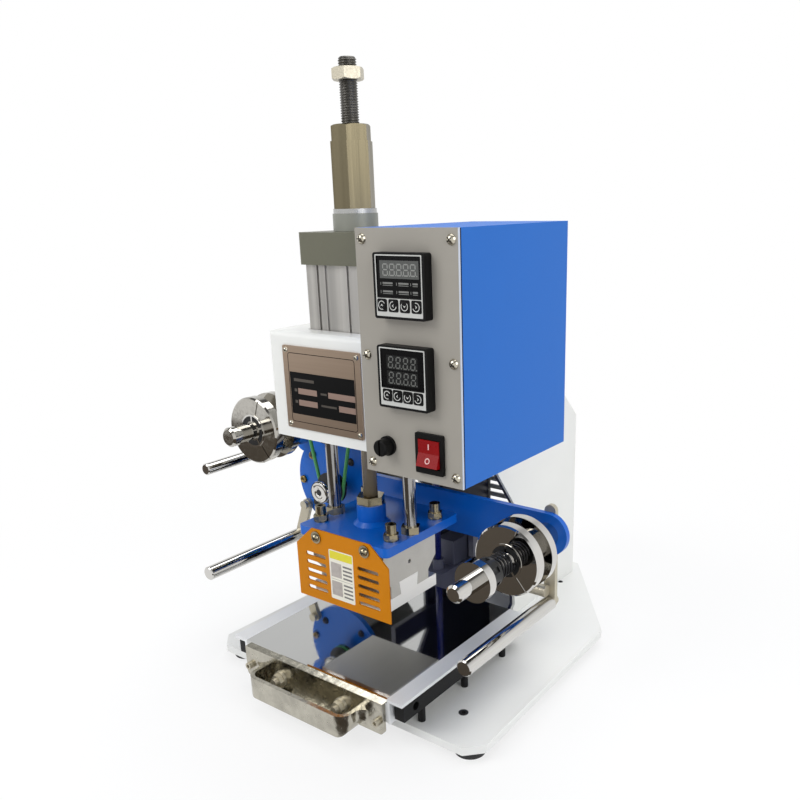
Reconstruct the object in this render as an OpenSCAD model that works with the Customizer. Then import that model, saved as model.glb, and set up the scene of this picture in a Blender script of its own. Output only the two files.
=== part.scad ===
// Pneumatic hot stamping press, bench size. Millimetres, +Z up.
// The press stands on z = 0. Every place below is measured from the upright
// axis of the ram: x to the right, y to the back, z from the bench.

/* [Base plate and feet] */
// Height of the rubber feet
foot_h = 10; // [6:1:20]
// Diameter of the rubber feet
foot_d = 32; // [20:1:32]
// Thickness of the steel base plate
base_t = 8; // [6:1:12]
// Width of the base plate at the front
base_w = 336; // [326:1:360]
// Width of the base plate where it starts to narrow
base_shoulder_w = 322; // [300:1:326]
// Width of the base plate at the back edge
base_tail_w = 120; // [100:1:150]
// Front edge of the base plate ahead of the ram axis
base_front = 70; // [60:1:85]
// Shoulder of the base plate behind the ram axis
base_shoulder = 177; // [165:1:190]
// Back edge of the base plate behind the ram axis
base_rear = 315; // [305:1:330]
// Chamfer of the front corners
base_corner = 15; // [8:1:20]
// Diameter of the bench bolt holes
bench_hole_d = 6.6; // [5:0.1:7]

/* [Frame and housing] */
// Outer width of the housing
housing_w = 130; // [128:1:134]
// Thickness of the white side panels
panel_t = 3; // [2:0.5:3]
// Thickness of the steel frame plates inside the panels
frame_t = 3.5; // [3:0.5:4]
// Front face of the white front cover ahead of the ram axis
cover_front = 53; // [50:0.5:58]
// Back face of the housing behind the ram axis
housing_rear = 291; // [280:1:298]
// Height of the front cover's bottom edge
cover_bottom = 259; // [256:0.5:261]
// Height of the housing's top
cover_top = 355; // [348:1:360]
// Thickness of the front cover's sheet
sheet_t = 2; // [1:0.5:2]
// Height where the housing's back starts to slope
rear_wall_top = 219; // [205:1:230]
// Front edge of the column behind the ram axis
column_front = 155; // [148:1:165]
// Height where the column's slanted throat starts
throat_z = 149; // [140:1:158]
// Where the slanted throat meets the head, behind the ram axis
throat_nose = 73; // [68:1:78]
// Thickness of the bridge plate that carries the cylinder
bridge_t = 14; // [10:1:18]
// Rows of vent slots in the back wall
vent_rows = 9; // [4:1:9]
// Distance from one vent row to the next
vent_pitch = 10.5; // [9:0.5:11]
// Height of a vent slot
vent_h = 4.5; // [3:0.5:5]

/* [Cylinder] */
// Side of the square end caps
cap_w = 72; // [70:0.5:73]
// Height of an end cap
cap_h = 27; // [22:1:30]
// Side of the grooved tube
tube_w = 65; // [63:0.5:68]
// Length of the tube between the caps
tube_h = 108; // [100:1:112]
// Bore of the cylinder
bore_d = 50; // [44:1:51]
// Diameter of the piston rod
rod_d = 14; // [12:1:15]
// Diameter of the stroke thread on the rod's upper end
thread_d = 15.4; // [15:0.2:17]
// Height of the round boss on the upper cap
ring_h = 14.5; // [10:0.5:18]
// Diameter of the round boss on the upper cap
ring_d = 38.6; // [37:0.2:44]
// Height of the bright flange under the stop sleeve
bright_h = 4; // [3:0.5:6]
// Length of the hexagonal stop sleeve
sleeve_h = 54; // [40:1:60]
// Width across flats of the stop sleeve
sleeve_af = 32; // [30:0.5:32]
// Height of the collar on the stop sleeve
collar_h = 13; // [8:1:16]
// Width across flats of the collar
collar_af = 30; // [27:0.5:30]
// Gap from the collar to the stroke nut, which is the ram's stroke
stroke = 34; // [20:1:34]
// Height of the stroke nut
stroke_nut_h = 9.6; // [8:0.2:12]
// Width across flats of the stroke nut
stroke_nut_af = 24; // [21:0.5:28]
// Length of thread above the stroke nut
thread_over = 8; // [4:0.5:12]

/* [Ram head] */
// Width of the cast head plate
head_w = 112; // [109:1:114]
// Front edge of the head plate ahead of the ram axis
head_front = 44; // [41:0.5:46]
// Back edge of the head plate behind the ram axis
head_rear = 65; // [58:1:68]
// Thickness of the head plate
head_t = 9; // [8:0.5:12]
// Height of the head plate's top face with the ram up
head_top = 167; // [164:0.5:172]
// Diameter of the cast boss
boss_d = 28; // [26:0.5:32]
// Height of the cast boss
boss_h = 20; // [14:1:24]
// Diameter of the guide rods
guide_d = 12; // [10:0.5:12.5]
// Distance from the ram axis to a guide rod
guide_x = 48; // [46.5:0.5:49]
// Width of the heater block and the hot plate
block_w = 90; // [84:1:96]
// Front face of the heater block ahead of the ram axis
block_front = 37; // [34:0.5:40]
// Back face of the heater block behind the ram axis
block_rear = 40; // [37:0.5:46]
// Height of the heater block
block_h = 47.3; // [44:0.1:48]
// Thickness of the hot plate
hot_t = 12; // [9:0.5:14]
// Thickness of the insulation board
insulation_t = 2; // [1:0.5:3]
// Width of the guard
guard_w = 116; // [114:1:118]
// Height of the guard
guard_h = 73.5; // [66:0.5:76]
// Thickness of the guard
guard_t = 1.5; // [1:0.1:2]
// Slots in each column of the guard
guard_slots = 5; // [3:1:5]

/* [Work table] */
// Width of the polished table plate
table_w = 180; // [176:1:182]
// Front edge of the table ahead of the ram axis
table_front = 92; // [88:1:96]
// Back edge of the table behind the ram axis
table_rear = 105; // [100:1:108]
// Height of the table's polished face
table_z = 54; // [53:0.5:57]
// Thickness of the polished plate
table_t = 4; // [3:0.5:5]
// Width of a table rail, web and flange together
rail_w = 17; // [16:0.5:18]
// Height of a table rail
rail_h = 24; // [20:0.5:26]
// Thickness of a table rail
rail_t = 3; // [2:0.5:3]
// Width of the black guide bars
bar_w = 11; // [8:0.5:12]
// Height of the black guide bars
bar_h = 16.4; // [12:0.2:18]
// How far the cast handle reaches out from the table's front
handle_reach = 27; // [24:1:32]
// Width of the cast handle's front wall
handle_w = 126; // [110:1:136]

/* [Foil arms] */
// Thickness of the blue support plate
arm_t = 6; // [5:0.5:8]
// Front face of the support plate behind the ram axis
arm_y = 80; // [78:1:84]
// Height of the right arm
arm_h = 42; // [36:1:46]
// Supply spindle's distance from the ram axis
supply_x = 147.4; // [144:0.2:150]
// Height of the supply spindle
supply_z = 159.3; // [156:0.1:164]
// Take-up spindle's distance from the ram axis, to the left
takeup_x = 114; // [111:0.5:118]
// Height of the take-up spindle
takeup_z = 251; // [247:0.5:256]
// Diameter of the spindles
spindle_d = 16; // [12:0.5:16.5]
// Front end of the spindles ahead of the ram axis
spindle_front = 70; // [60:1:80]
// Diameter of the spool discs
disc_d = 66; // [56:1:70]
// Thickness of a spool disc
disc_t = 10; // [8:0.5:10.5]
// Gap between the two discs of a spool
disc_gap = 14; // [8:1:15]
// Diameter of the polished lower foil rods
foil_rod_d = 15; // [12:0.5:16]
// Diameter of the upper foil rod
upper_rod_d = 12; // [10:0.5:14]
// Front end of the foil rods ahead of the ram axis
foil_rod_front = 58; // [50:1:64]
// Outer diameter of the motor pulley
motor_pulley_d = 36; // [32:1:42]
// Outer diameter of the take-up pulley
takeup_pulley_d = 76; // [60:1:80]
// Diameter of the round belt
belt_d = 4; // [3:0.5:4.5]

/* [Control box] */
// Width of the control box
box_w = 96.5; // [94:0.5:100]
// Depth of the control box behind its front panel
box_depth = 154; // [140:1:160]
// Height of the control box
box_h = 191; // [188:1:196]
// Front face of the panel ahead of the ram axis
box_front = 72.6; // [70:0.2:76]
// Height of the box's bottom edge
box_z = 252; // [248:1:255]
// Thickness of the grey front panel
face_t = 2; // [1.5:0.5:3]
// Wall of the blue box
box_wall = 1.5; // [1:0.5:2.5]
// Side of the square meters
meter_w = 48; // [46:0.5:49]
// How far a meter stands out of the panel
meter_out = 8.8; // [6:0.2:10]
// Depth of a meter's case behind the panel
meter_in = 70; // [50:1:90]
// Diameter of a meter key
key_d = 7; // [5:0.1:7.5]
// Travel of a meter key
key_travel = 0.6; // [0.4:0.1:0.8]
// Width of the rocker switch's bezel
switch_w = 26.5; // [25:0.5:30]
// Height of the rocker switch's bezel
switch_h = 32; // [30:0.5:36]

/* [Hidden] */
$fn = 72;
// one overrun for every cut, one running clearance, one fit on the radius
cut = 1;
run = 0.3;
fit = 0.05;

base_top = foot_h + base_t;
foot_inset = 22;
foot_rear_x = 78;
foot_rear_in = 75;
bench_front_x = 124.8;
bench_front_in = 42;
bench_rear_x = 66.9;
bench_rear_in = 58.7;

frame_x = housing_w / 2 - panel_t;
inner_x = frame_x - frame_t;
bridge_gap = 3;
bridge_z = cover_bottom + bridge_gap;
bridge_top = bridge_z + bridge_t;
bridge_in = 7;
bridge_front = cover_front - bridge_in;
bridge_over = 17;
bridge_rear = throat_nose + bridge_over;
cover_round = 5;
slope_y = housing_rear - (cover_top - rear_wall_top);
flare = 12;
vent_w = 112;
vent_low = 59;
plate_w = 91.7;
plate_h = 74.4;
plate_t = 1.5;
plate_low = 9.7;
plate_screw_in = 4;
plate_screw_d = 5;
plate_screw_h = 1.8;

cap1_z = bridge_top;
tube_z = cap1_z + cap_h;
cap2_z = tube_z + tube_h;
ring_z = cap2_z + cap_h;
bright_z = ring_z + ring_h;
bright_d = 37;
sleeve_z = bright_z + bright_h;
collar_z = sleeve_z + sleeve_h;
collar_top = collar_z + collar_h;
collar_round = 2;
stroke_nut_z = collar_top + stroke;
thread_top = stroke_nut_z + stroke_nut_h + thread_over;
thread_tip = 1.5;
cap_round = 4;
spigot_h = 3;
port_d = 10;
port_deep = 16;
groove_share = 0.27;
groove_w = 2.4;
groove_deep = 1.6;
channel_w = 18;
channel_deep = 1.2;
tube_round = 2;
cover_gap = 1;
piston_h = 24;
piston_rest = 3;
piston_top = cap2_z - spigot_h - piston_rest;
piston_play = 0.1;
seal_w = 3;
seal_deep = 1.5;
bush_wall = 2.5;
bush_d = guide_d + 2 * bush_wall;
bush_rim = 1;
bush_flange_h = 6;
bush_over = 12;
guide_over = 14;
guide_top = bridge_top + bush_over + stroke + guide_over;
rod_round = 1;

head_bottom = head_top - head_t;
boss_top = head_top + boss_h;
boss_foot = 4;
head_corner = 5;
head_nut_h = 8;
head_nut_af = 24;
guide_nut_h = 7;
guide_nut_af = 16.5;
head_screw_x = 44.5;
head_screw_front = 24;
head_screw_rear = 42;
screw_d = 6;
screw_head_d = 10.4;
screw_head_h = 9;
washer_d = 14;
washer_h = 1.6;
lock_nut_af = 13;
lock_nut_h = 5;
screw_seat = head_top + washer_h + lock_nut_h;
block_top = head_bottom - insulation_t;
block_z = block_top - block_h;
hot_z = block_z - hot_t;
step_h = 21.3;
step_front = 9;
step_rear = 12;
tongue_front = 14;
tongue_rear = 10;
tongue_h = 13;
tongue_flare = 2;
tongue_play = 0.2;
probe_d = 4;
probe_drop = 19;
probe_deep = 30;
heater_d = 9;
heater_y = 24;
heater_drop = 13;
heater_end = 5;
heater_out = 3;
guard_over = 1;
guard_top = head_top + guard_over;
guard_low = guard_top - guard_h;
guard_shoulder = 19;
guard_cut = 21.5;
guard_screw_x = 30.5;
guard_screw_drop = 8;
guard_screw_d = 8.4;
guard_screw_h = 3.4;
guard_washer_d = 12;
guard_washer_h = 1.2;
guard_slot_w = 26;
guard_slot_h = 4;
guard_slot_x = 33;
guard_slot_pitch = 8.8;
guard_slot_drop = 27;

carriage_h = 12;
carriage_z = table_z - table_t - carriage_h;
rail_x = table_w / 2;
bar_gap = 2;
bar_x = rail_x + rail_t + bar_gap;
bar_top = table_z - rail_t - run;
bar_z = bar_top - bar_h;
bar_front_in = 4;
bar_front = table_front - bar_front_in;
bar_rear = table_rear - cut;
bar_hole_d = 8;
bar_hole_in = 16;
post_d = 7;
post_in = 30;
handle_t = 4;
handle_back_w = 176;
handle_back_low = 19;
handle_low = 17;
handle_wall_top = 38;
handle_round = 12;
handle_sweep = 9;
handle_bow = 10;
stop_screw_x = 39;
stop_screw_z = 31;
stop_washer_d = 15;
stop_washer_h = 2.5;
stop_nut_af = 11;
stop_nut_h = 4;
stop_bolt_d = 7;
stop_bolt_h = 4;
ear_screw_x = 82;
ear_screw_z = 31;
ear_screw_d = 7;
ear_screw_h = 4;

lobe_r = 54;
lobe_x = 129;
lobe_z = 160;
lobe_left = 173;
lobe_left_z = 192;
lug_x = 171;
lug_z = 206;
lug_r = 16;
takeup_lobe_r = 32;
plate_right = 75;
plate_waist_z = 205;
arm_low = supply_z - arm_h / 2;
bracket_t = 6;
bracket_low = 112;
bracket_high = 138;
bracket_rear = 200;
rod_z = 86;
right_rod_x = 147.5;
left_rod_x = 187;
link_t = 5;
link_w = 12;
right_link_x = 147;
right_link_z = 181;
left_link_x = 171;
left_link_z = 127;
link_screw_d = 10;
link_screw_h = 5;
stud_d = 12;
stud_out = 22;

slit_w = 1.2;
slit_deep = 1;
slits = 3;
slit_turn = 20;
disc_round = 1.5;
hub_d = 34;
window_in = 11.4;
window_out = 15;
hub_spokes = 5;
spoke_w = 2.6;
supply_disc_y = 8;
takeup_disc_y = -40;
collar_d = 36;
collar_y = -43;
collar_t = 9;
spacer_d = 24;
rear_collar_t = 6;
nose_d = 19;
nose_t = 8;
nose_chamfer = 2;
knob_d = 27;
knob_t = 17;
knob_flutes = 6;
flute_d = 8;
spring_d = 22;
spring_wire = 2.4;
spring_turns = 5;
spring_rings = 8;
spring_sides = 6;
pulley_t = 9;
belt_y = 62;
pulley_rim = 4;
bearing_d = 36;
bearing_t = 12;
motor_z = 162;
motor_box_w = 70;
motor_box_t = 32;
motor_round = 5;
motor_can_d = 64;
motor_can_t = 60;
motor_shaft_d = 10;
motor_screw_pitch = 58;
motor_screw_d = 9;
motor_screw_h = 4;
thumb_d = 24;
thumb_t = 6;
thumb_y = 42;

box_x = housing_w / 2;
face_y = -box_front;
shell_y = face_y + face_t;
panel_screw_left = 6.5;
panel_screw_top = 8;
panel_screw_d = 8.2;
panel_screw_h = 3;
meter_x = box_x + box_w / 2;
timer_share = 0.7853;
timer_z = box_z + box_h * timer_share;
heat_share = 0.4293;
heat_z = box_z + box_h * heat_share;
meter_case_w = 44.5;
meter_round = 2;
window_w = 43;
window_h = 30;
window_up = 7;
window_deep = 1.2;
keys = 4;
timer_pitch = 10.8;
heat_pitch = 10;
key_drop = 14;
key_out = 0.9;
key_back = 2;
key_play = 0.3;
fuse_in = 24;
fuse_up = 24;
fuse_x = box_x + fuse_in;
fuse_z = box_z + fuse_up;
fuse_flange_d = 16;
fuse_flange_t = 2.5;
fuse_cap_d = 13.4;
fuse_cap_t = 9;
fuse_body_d = 12;
fuse_body_t = 34;
fuse_slot_w = 1.6;
fuse_slot_deep = 1.5;
switch_in = 66.75;
switch_up = 24;
switch_x = box_x + switch_in;
switch_z = box_z + switch_up;
switch_t = 3;
switch_deep = 20;
rocker_w = 20.5;
rocker_h = 23.5;
rocker_tilt = 10;
rocker_tip = 5.4;
rocker_dip = 3.6;
rocker_back = 7;
rocker_half = rocker_h / 2 - 4 * run;
rocker_pin_d = 3;
gland_d = 18;
gland_t = 8;
gland_af = 20;
gland_hole_d = 8;

valve_x = -33;
valve_y = 145;
valve_w = 30;
valve_l = 62;
valve_h = 36;
coil_w = 24;
coil_l = 26;
coil_h = 30;
hose_d = 8;
fitting_d = 13;
fitting_h = 12;
port_z = cap1_z + cap_h / 2;
hose_rings = 14;
hose_sides = 10;
belt_steps = 18;
belt_sides = 8;

// the whole outline is centred over the origin
left_end = left_rod_x + foil_rod_d / 2;
right_end = supply_x + disc_d / 2;
front_end = table_front + handle_reach;
ram_x = (left_end - right_end) / 2;
ram_y = (front_end - base_rear) / 2;

// moves a piece from the ram's axis to the model's place
module at_ram() { translate([ram_x, ram_y, 0]) children(); }

// draws a piece and its mirror image on the other side of the ram
module both_sides() {
  children();
  mirror([1, 0, 0]) children();
}

// a block between two corners
module block(a, b) { translate(a) cube(b - a); }

// a round bar along Y between two depths
module bar_y(x, z, y0, y1, d) {
  translate([x, y1, z]) rotate([90, 0, 0]) cylinder(h = y1 - y0, d = d);
}

// a round bar along X between two places
module bar_x(y, z, x0, x1, d) {
  translate([x0, y, z]) rotate([0, 90, 0]) cylinder(h = x1 - x0, d = d);
}

// a flat outline, drawn in x and z, as a plate between two depths
module plate_xz(y0, y1) {
  translate([0, y1, 0]) rotate([90, 0, 0]) linear_extrude(y1 - y0) children();
}

// a flat outline, drawn in y and z, as a plate between two places in x
module plate_yz(x0, x1) {
  translate([x0, 0, 0]) rotate([90, 0, 90]) linear_extrude(x1 - x0) children();
}

// a profile, drawn as radius and depth, turned about an axis along Y
module turned_y(x, z) {
  translate([x, 0, z]) rotate([-90, 0, 0]) rotate_extrude() children();
}

// a rectangle with round corners, between two corners
module round_rect(a, b, r) {
  translate([a[0] + r, a[1]]) square([b[0] - a[0] - 2 * r, b[1] - a[1]]);
  translate([a[0], a[1] + r]) square([b[0] - a[0], b[1] - a[1] - 2 * r]);
  for (x = [a[0] + r, b[0] - r]) for (y = [a[1] + r, b[1] - r])
    translate([x, y]) circle(r = r);
}

// a hexagonal prism, standing on z
module hex_bar(z, h, af) {
  translate([0, 0, z]) cylinder(h = h, d = af / cos(30), $fn = 6);
}

// a hexagonal nut with a plain hole
module nut(z, h, af, hole) difference() {
  hex_bar(z, h, af);
  translate([0, 0, z - cut]) cylinder(h = h + 2 * cut, d = hole);
}

// a dome screw head that rises along +Z from z = 0
module dome_head(d, h) {
  ball = (d * d / 4 + h * h) / (2 * h);
  intersection() {
    cylinder(h = h, d = d);
    translate([0, 0, h - ball]) sphere(r = ball);
  }
}

// a closed tube swept along rings; each ring is its centre and two unit normals
module swept(rings, r, sides, closed) {
  n = len(rings);
  pts = [for (g = rings) for (k = [0:sides - 1])
    g[0] + r * cos(k * 360 / sides) * g[1] + r * sin(k * 360 / sides) * g[2]];
  last = closed ? n - 1 : n - 2;
  walls = [for (i = [0:last]) for (k = [0:sides - 1]) for (h = [0, 1])
    let (a = i * sides + k, b = i * sides + (k + 1) % sides,
      c = ((i + 1) % n) * sides + k, d = ((i + 1) % n) * sides + (k + 1) % sides)
    h == 0 ? [a, d, b] : [a, c, d]];
  ends = closed ? [] : [[for (k = [0:sides - 1]) k],
    [for (k = [sides - 1:-1:0]) (n - 1) * sides + k]];
  polyhedron(points = pts, faces = concat(walls, ends));
}

// the steel plate with chamfered front corners and a narrow tail
module base_plate() color("whitesmoke") at_ram() difference() {
  translate([0, 0, foot_h]) linear_extrude(base_t) polygon([
    [-base_w / 2 + base_corner, -base_front], [base_w / 2 - base_corner, -base_front],
    [base_w / 2, -base_front + base_corner], [base_shoulder_w / 2, base_shoulder],
    [base_tail_w / 2, base_rear], [-base_tail_w / 2, base_rear],
    [-base_shoulder_w / 2, base_shoulder], [-base_w / 2, -base_front + base_corner]
  ]);
  both_sides() {
    translate([bench_front_x, bench_front_in - base_front, foot_h - cut])
      cylinder(h = base_t + 2 * cut, d = bench_hole_d);
    translate([bench_rear_x, base_rear - bench_rear_in, foot_h - cut])
      cylinder(h = base_t + 2 * cut, d = bench_hole_d);
  }
}

// four turned rubber feet with a narrower sole
module rubber_feet() color("black") at_ram() {
  sole = foot_d / 2 - foot_h / 5;
  for (p = [[base_w / 2 - foot_inset, foot_inset - base_front], [foot_rear_x, base_rear - foot_rear_in]])
    both_sides() translate([p[0], p[1], 0]) rotate_extrude()
      polygon([[0, 0], [sole, 0], [foot_d / 2, foot_h / 2], [foot_d / 2, foot_h], [0, foot_h]]);
}

// how much a mitred 45 degree bend shortens the inner face of a sheet
function bend(t) = t * tan(22.5);

// two steel cheeks that carry the whole head, cut as a C
module frame_plates() color("midnightblue") at_ram() both_sides()
  plate_yz(inner_x, frame_x) polygon([
    [column_front - flare, base_top], [column_front, base_top + flare],
    [column_front, throat_z], [throat_nose, cover_bottom],
    [throat_nose, bridge_z], [-bridge_front, bridge_z],
    [-bridge_front, cover_top - sheet_t - cover_round],
    [throat_nose, cover_top - sheet_t - cover_round], [throat_nose, cover_top - sheet_t],
    [slope_y - bend(sheet_t), cover_top - sheet_t],
    [housing_rear - sheet_t, rear_wall_top - bend(sheet_t)], [housing_rear - sheet_t, base_top]
  ]);

// the white panels outside the cheeks, behind the front cover
module side_panels() color("whitesmoke") at_ram() both_sides()
  plate_yz(frame_x, housing_w / 2) polygon([
    [column_front - flare, base_top], [column_front, base_top + flare],
    [column_front, throat_z], [throat_nose, cover_bottom], [throat_nose, cover_top],
    [slope_y, cover_top], [housing_rear, rear_wall_top], [housing_rear, base_top]
  ]);

// one bent sheet for the back, the slope and the top, with vent slots
module rear_cover() color("whitesmoke") at_ram() difference() {
  plate_yz(-frame_x, frame_x) polygon([
    [housing_rear, base_top], [housing_rear, rear_wall_top], [slope_y, cover_top],
    [throat_nose, cover_top], [throat_nose, cover_top - sheet_t],
    [slope_y - bend(sheet_t), cover_top - sheet_t],
    [housing_rear - sheet_t, rear_wall_top - bend(sheet_t)], [housing_rear - sheet_t, base_top]
  ]);
  for (i = [0:vent_rows - 1])
    block([-vent_w / 2, housing_rear - sheet_t - cut, vent_low + i * vent_pitch],
      [vent_w / 2, housing_rear + cut, vent_low + i * vent_pitch + vent_h]);
}

// the solid form of the front cover, drawn in by t on every closed side
module cover_form(t) {
  w = housing_w / 2 - t;
  r = cover_round - t;
  over = t > 0 ? cut : 0;
  intersection() {
    translate([0, 0, cover_bottom - over]) linear_extrude(cover_top - t - cover_bottom + over)
      round_rect([-w, t - cover_front], [w, throat_nose + over + r], r);
    plate_xz(t - cover_front, throat_nose + over)
      round_rect([-w, cover_bottom - over - r], [w, cover_top - t], r);
    plate_yz(-w, w)
      round_rect([t - cover_front, cover_bottom - over - r], [throat_nose + over + r, cover_top - t], r);
  }
}

// the white front cover, a drawn hood open at the bottom and the back
module front_cover() color("whitesmoke") at_ram() difference() {
  cover_form(0);
  cover_form(sheet_t);
  block([-tube_w / 2 - cover_gap, -tube_w / 2 - cover_gap, cover_top - sheet_t - cut],
    [tube_w / 2 + cover_gap, tube_w / 2 + cover_gap, cover_top + cut]);
}

// the bare metal plate on the cover's front
module name_plate() color("rosybrown") at_ram()
  plate_xz(-cover_front - plate_t, -cover_front) translate([0, cover_bottom + plate_low])
    round_rect([-plate_w / 2, 0], [plate_w / 2, plate_h], plate_t);

// dome screws of the bare plate and of the control box's panel
module dome_screws() color("silver") at_ram() {
  for (x = [plate_screw_in - plate_w / 2, plate_w / 2 - plate_screw_in])
    for (z = [plate_screw_in, plate_h - plate_screw_in])
      translate([x, -cover_front - plate_t, cover_bottom + plate_low + z])
        rotate([90, 0, 0]) dome_head(plate_screw_d, plate_screw_h);
  for (x = [panel_screw_left, box_w - panel_screw_left])
    for (z = [panel_screw_top, box_h / 2, box_h - panel_screw_top])
      translate([box_x + x, face_y, box_z + z])
        rotate([90, 0, 0]) dome_head(panel_screw_d, panel_screw_h);
}

// the thick plate between the cheeks, bored for the rod and the bushes
module bridge_plate() color("slategray") at_ram() difference() {
  block([-inner_x, -bridge_front, bridge_z], [inner_x, bridge_rear, bridge_top]);
  translate([0, 0, bridge_z - cut]) cylinder(h = bridge_t + 2 * cut, d = rod_d + 2 * cut);
  both_sides() translate([guide_x, 0, bridge_z - cut])
    cylinder(h = bridge_t + 2 * cut, d = bush_d);
}

// flanged bushes that guide the two rods of the head
module guide_bushes() color("goldenrod") at_ram() both_sides() translate([guide_x, 0, 0])
  difference() {
    union() {
      translate([0, 0, bridge_z - bush_flange_h])
        cylinder(h = bush_flange_h + bridge_t + bush_over, d = bush_d);
      translate([0, 0, bridge_z - bush_flange_h])
        cylinder(h = bush_flange_h, d = bush_d + 2 * bush_rim);
    }
    translate([0, 0, bridge_z - bush_flange_h - cut])
      cylinder(h = bush_flange_h + bridge_t + bush_over + 2 * cut, d = guide_d + 2 * fit);
  }

// a square cap with round corners, its spigot in the tube and one air port
module end_cap(z, spigot_z, hole) difference() {
  union() {
    translate([0, 0, z]) linear_extrude(cap_h)
      round_rect([-cap_w / 2, -cap_w / 2], [cap_w / 2, cap_w / 2], cap_round);
    translate([0, 0, spigot_z]) cylinder(h = spigot_h, d = bore_d);
  }
  translate([0, 0, z - spigot_h - cut])
    cylinder(h = cap_h + 2 * spigot_h + 2 * cut, d = hole + 2 * fit);
  bar_y(0, z + cap_h / 2, cap_w / 2 - port_deep, cap_w / 2 + cut, port_d);
}

// both end caps; the upper one carries a round boss
module end_caps() color("dimgray") at_ram() {
  end_cap(cap1_z, tube_z, rod_d);
  end_cap(cap2_z, cap2_z - spigot_h, thread_d);
  difference() {
    translate([0, 0, ring_z]) cylinder(h = ring_h, d = ring_d);
    translate([0, 0, ring_z - cut]) cylinder(h = ring_h + 2 * cut, d = thread_d + 2 * fit);
  }
}

// the extruded tube: a shallow channel and two sensor slots on each face
module cylinder_tube() color("silver") at_ram() translate([0, 0, tube_z])
  linear_extrude(tube_h) difference() {
    round_rect([-tube_w / 2, -tube_w / 2], [tube_w / 2, tube_w / 2], tube_round);
    circle(d = bore_d);
    for (a = [0:90:270]) rotate(a) {
      translate([-channel_w / 2, tube_w / 2 - channel_deep]) square([channel_w, channel_deep + cut]);
      for (s = [-groove_share, groove_share])
        translate([s * tube_w - groove_w / 2, tube_w / 2 - groove_deep])
          square([groove_w, groove_deep + cut]);
    }
  }

// the stop sleeve: a bright round flange, a hexagon and a rounded hexagonal collar
module stop_sleeve() color("tan") at_ram() difference() {
  union() {
    translate([0, 0, bright_z]) cylinder(h = bright_h, d = bright_d);
    hex_bar(sleeve_z, sleeve_h, sleeve_af);
    intersection() {
      hex_bar(collar_z, collar_h, collar_af);
      translate([0, 0, collar_z]) rotate_extrude() polygon([
        [0, 0], [collar_af, 0], [collar_af / 2 + 2 * collar_round, collar_h - collar_round],
        [collar_af / 2, collar_h], [0, collar_h]
      ]);
    }
  }
  translate([0, 0, bright_z - cut])
    cylinder(h = bright_h + sleeve_h + collar_h + 2 * cut, d = thread_d + 2 * run);
}

// the piston with its two seal grooves
module piston() color("gainsboro") at_ram() {
  r = bore_d / 2 - piston_play;
  g = r - seal_deep;
  a = piston_h / 4;
  translate([0, 0, piston_top - piston_h]) rotate_extrude() polygon([
    [rod_d / 2, 0], [r, 0], [r, a], [g, a], [g, a + seal_w], [r, a + seal_w],
    [r, piston_h - a - seal_w], [g, piston_h - a - seal_w],
    [g, piston_h - a], [r, piston_h - a], [r, piston_h], [rod_d / 2, piston_h]
  ]);
}

// one rod through both caps: slim below the piston, threaded above it
module piston_rod() color("lightgray") at_ram() rotate_extrude() polygon([
  [0, head_bottom], [rod_d / 2, head_bottom], [rod_d / 2, piston_top], [thread_d / 2, piston_top],
  [thread_d / 2, thread_top - thread_tip], [thread_d / 2 - thread_tip, thread_top], [0, thread_top]
]);

// the nut that sets the stroke, chamfered on both faces
module stroke_nut() color("silver") at_ram() translate([0, 0, stroke_nut_z]) difference() {
  corner = stroke_nut_af / 2 / cos(30);
  intersection() {
    hex_bar(0, stroke_nut_h, stroke_nut_af);
    rotate_extrude() polygon([
      [0, 0], [stroke_nut_af / 2, 0], [corner, stroke_nut_h / 8], [corner, stroke_nut_h * 7 / 8],
      [stroke_nut_af / 2, stroke_nut_h], [0, stroke_nut_h]
    ]);
  }
  translate([0, 0, -cut]) cylinder(h = stroke_nut_h + 2 * cut, d = thread_d + 2 * fit);
}

// the places of the head's cap screws on one side
head_screw_at = [[head_screw_x, -head_screw_front], [head_screw_x, head_screw_rear]];

// the cast plate with its boss on a flared foot
module head_plate() color("royalblue") at_ram() difference() {
  union() {
    translate([0, 0, head_bottom]) linear_extrude(head_t)
      round_rect([-head_w / 2, -head_front], [head_w / 2, head_rear], head_corner);
    translate([0, 0, head_top]) rotate_extrude() polygon([
      [0, 0], [boss_d / 2 + boss_foot, 0], [boss_d / 2, boss_foot], [boss_d / 2, boss_h], [0, boss_h]
    ]);
  }
  translate([0, 0, head_bottom - cut]) cylinder(h = head_t + boss_h + 2 * cut, d = rod_d);
  both_sides() {
    translate([guide_x, 0, head_bottom - cut]) cylinder(h = head_t + 2 * cut, d = guide_d);
    for (p = head_screw_at) translate([p[0], p[1], head_bottom - cut])
      cylinder(h = head_t + 2 * cut, d = screw_d);
  }
}

// the two guide rods, which stand up through the bushes
module guide_rods() color("silver") at_ram() both_sides() translate([guide_x, 0, 0])
  rotate_extrude() polygon([
    [0, head_bottom], [guide_d / 2, head_bottom], [guide_d / 2, guide_top - rod_round],
    [guide_d / 2 - rod_round, guide_top], [0, guide_top]
  ]);

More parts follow.
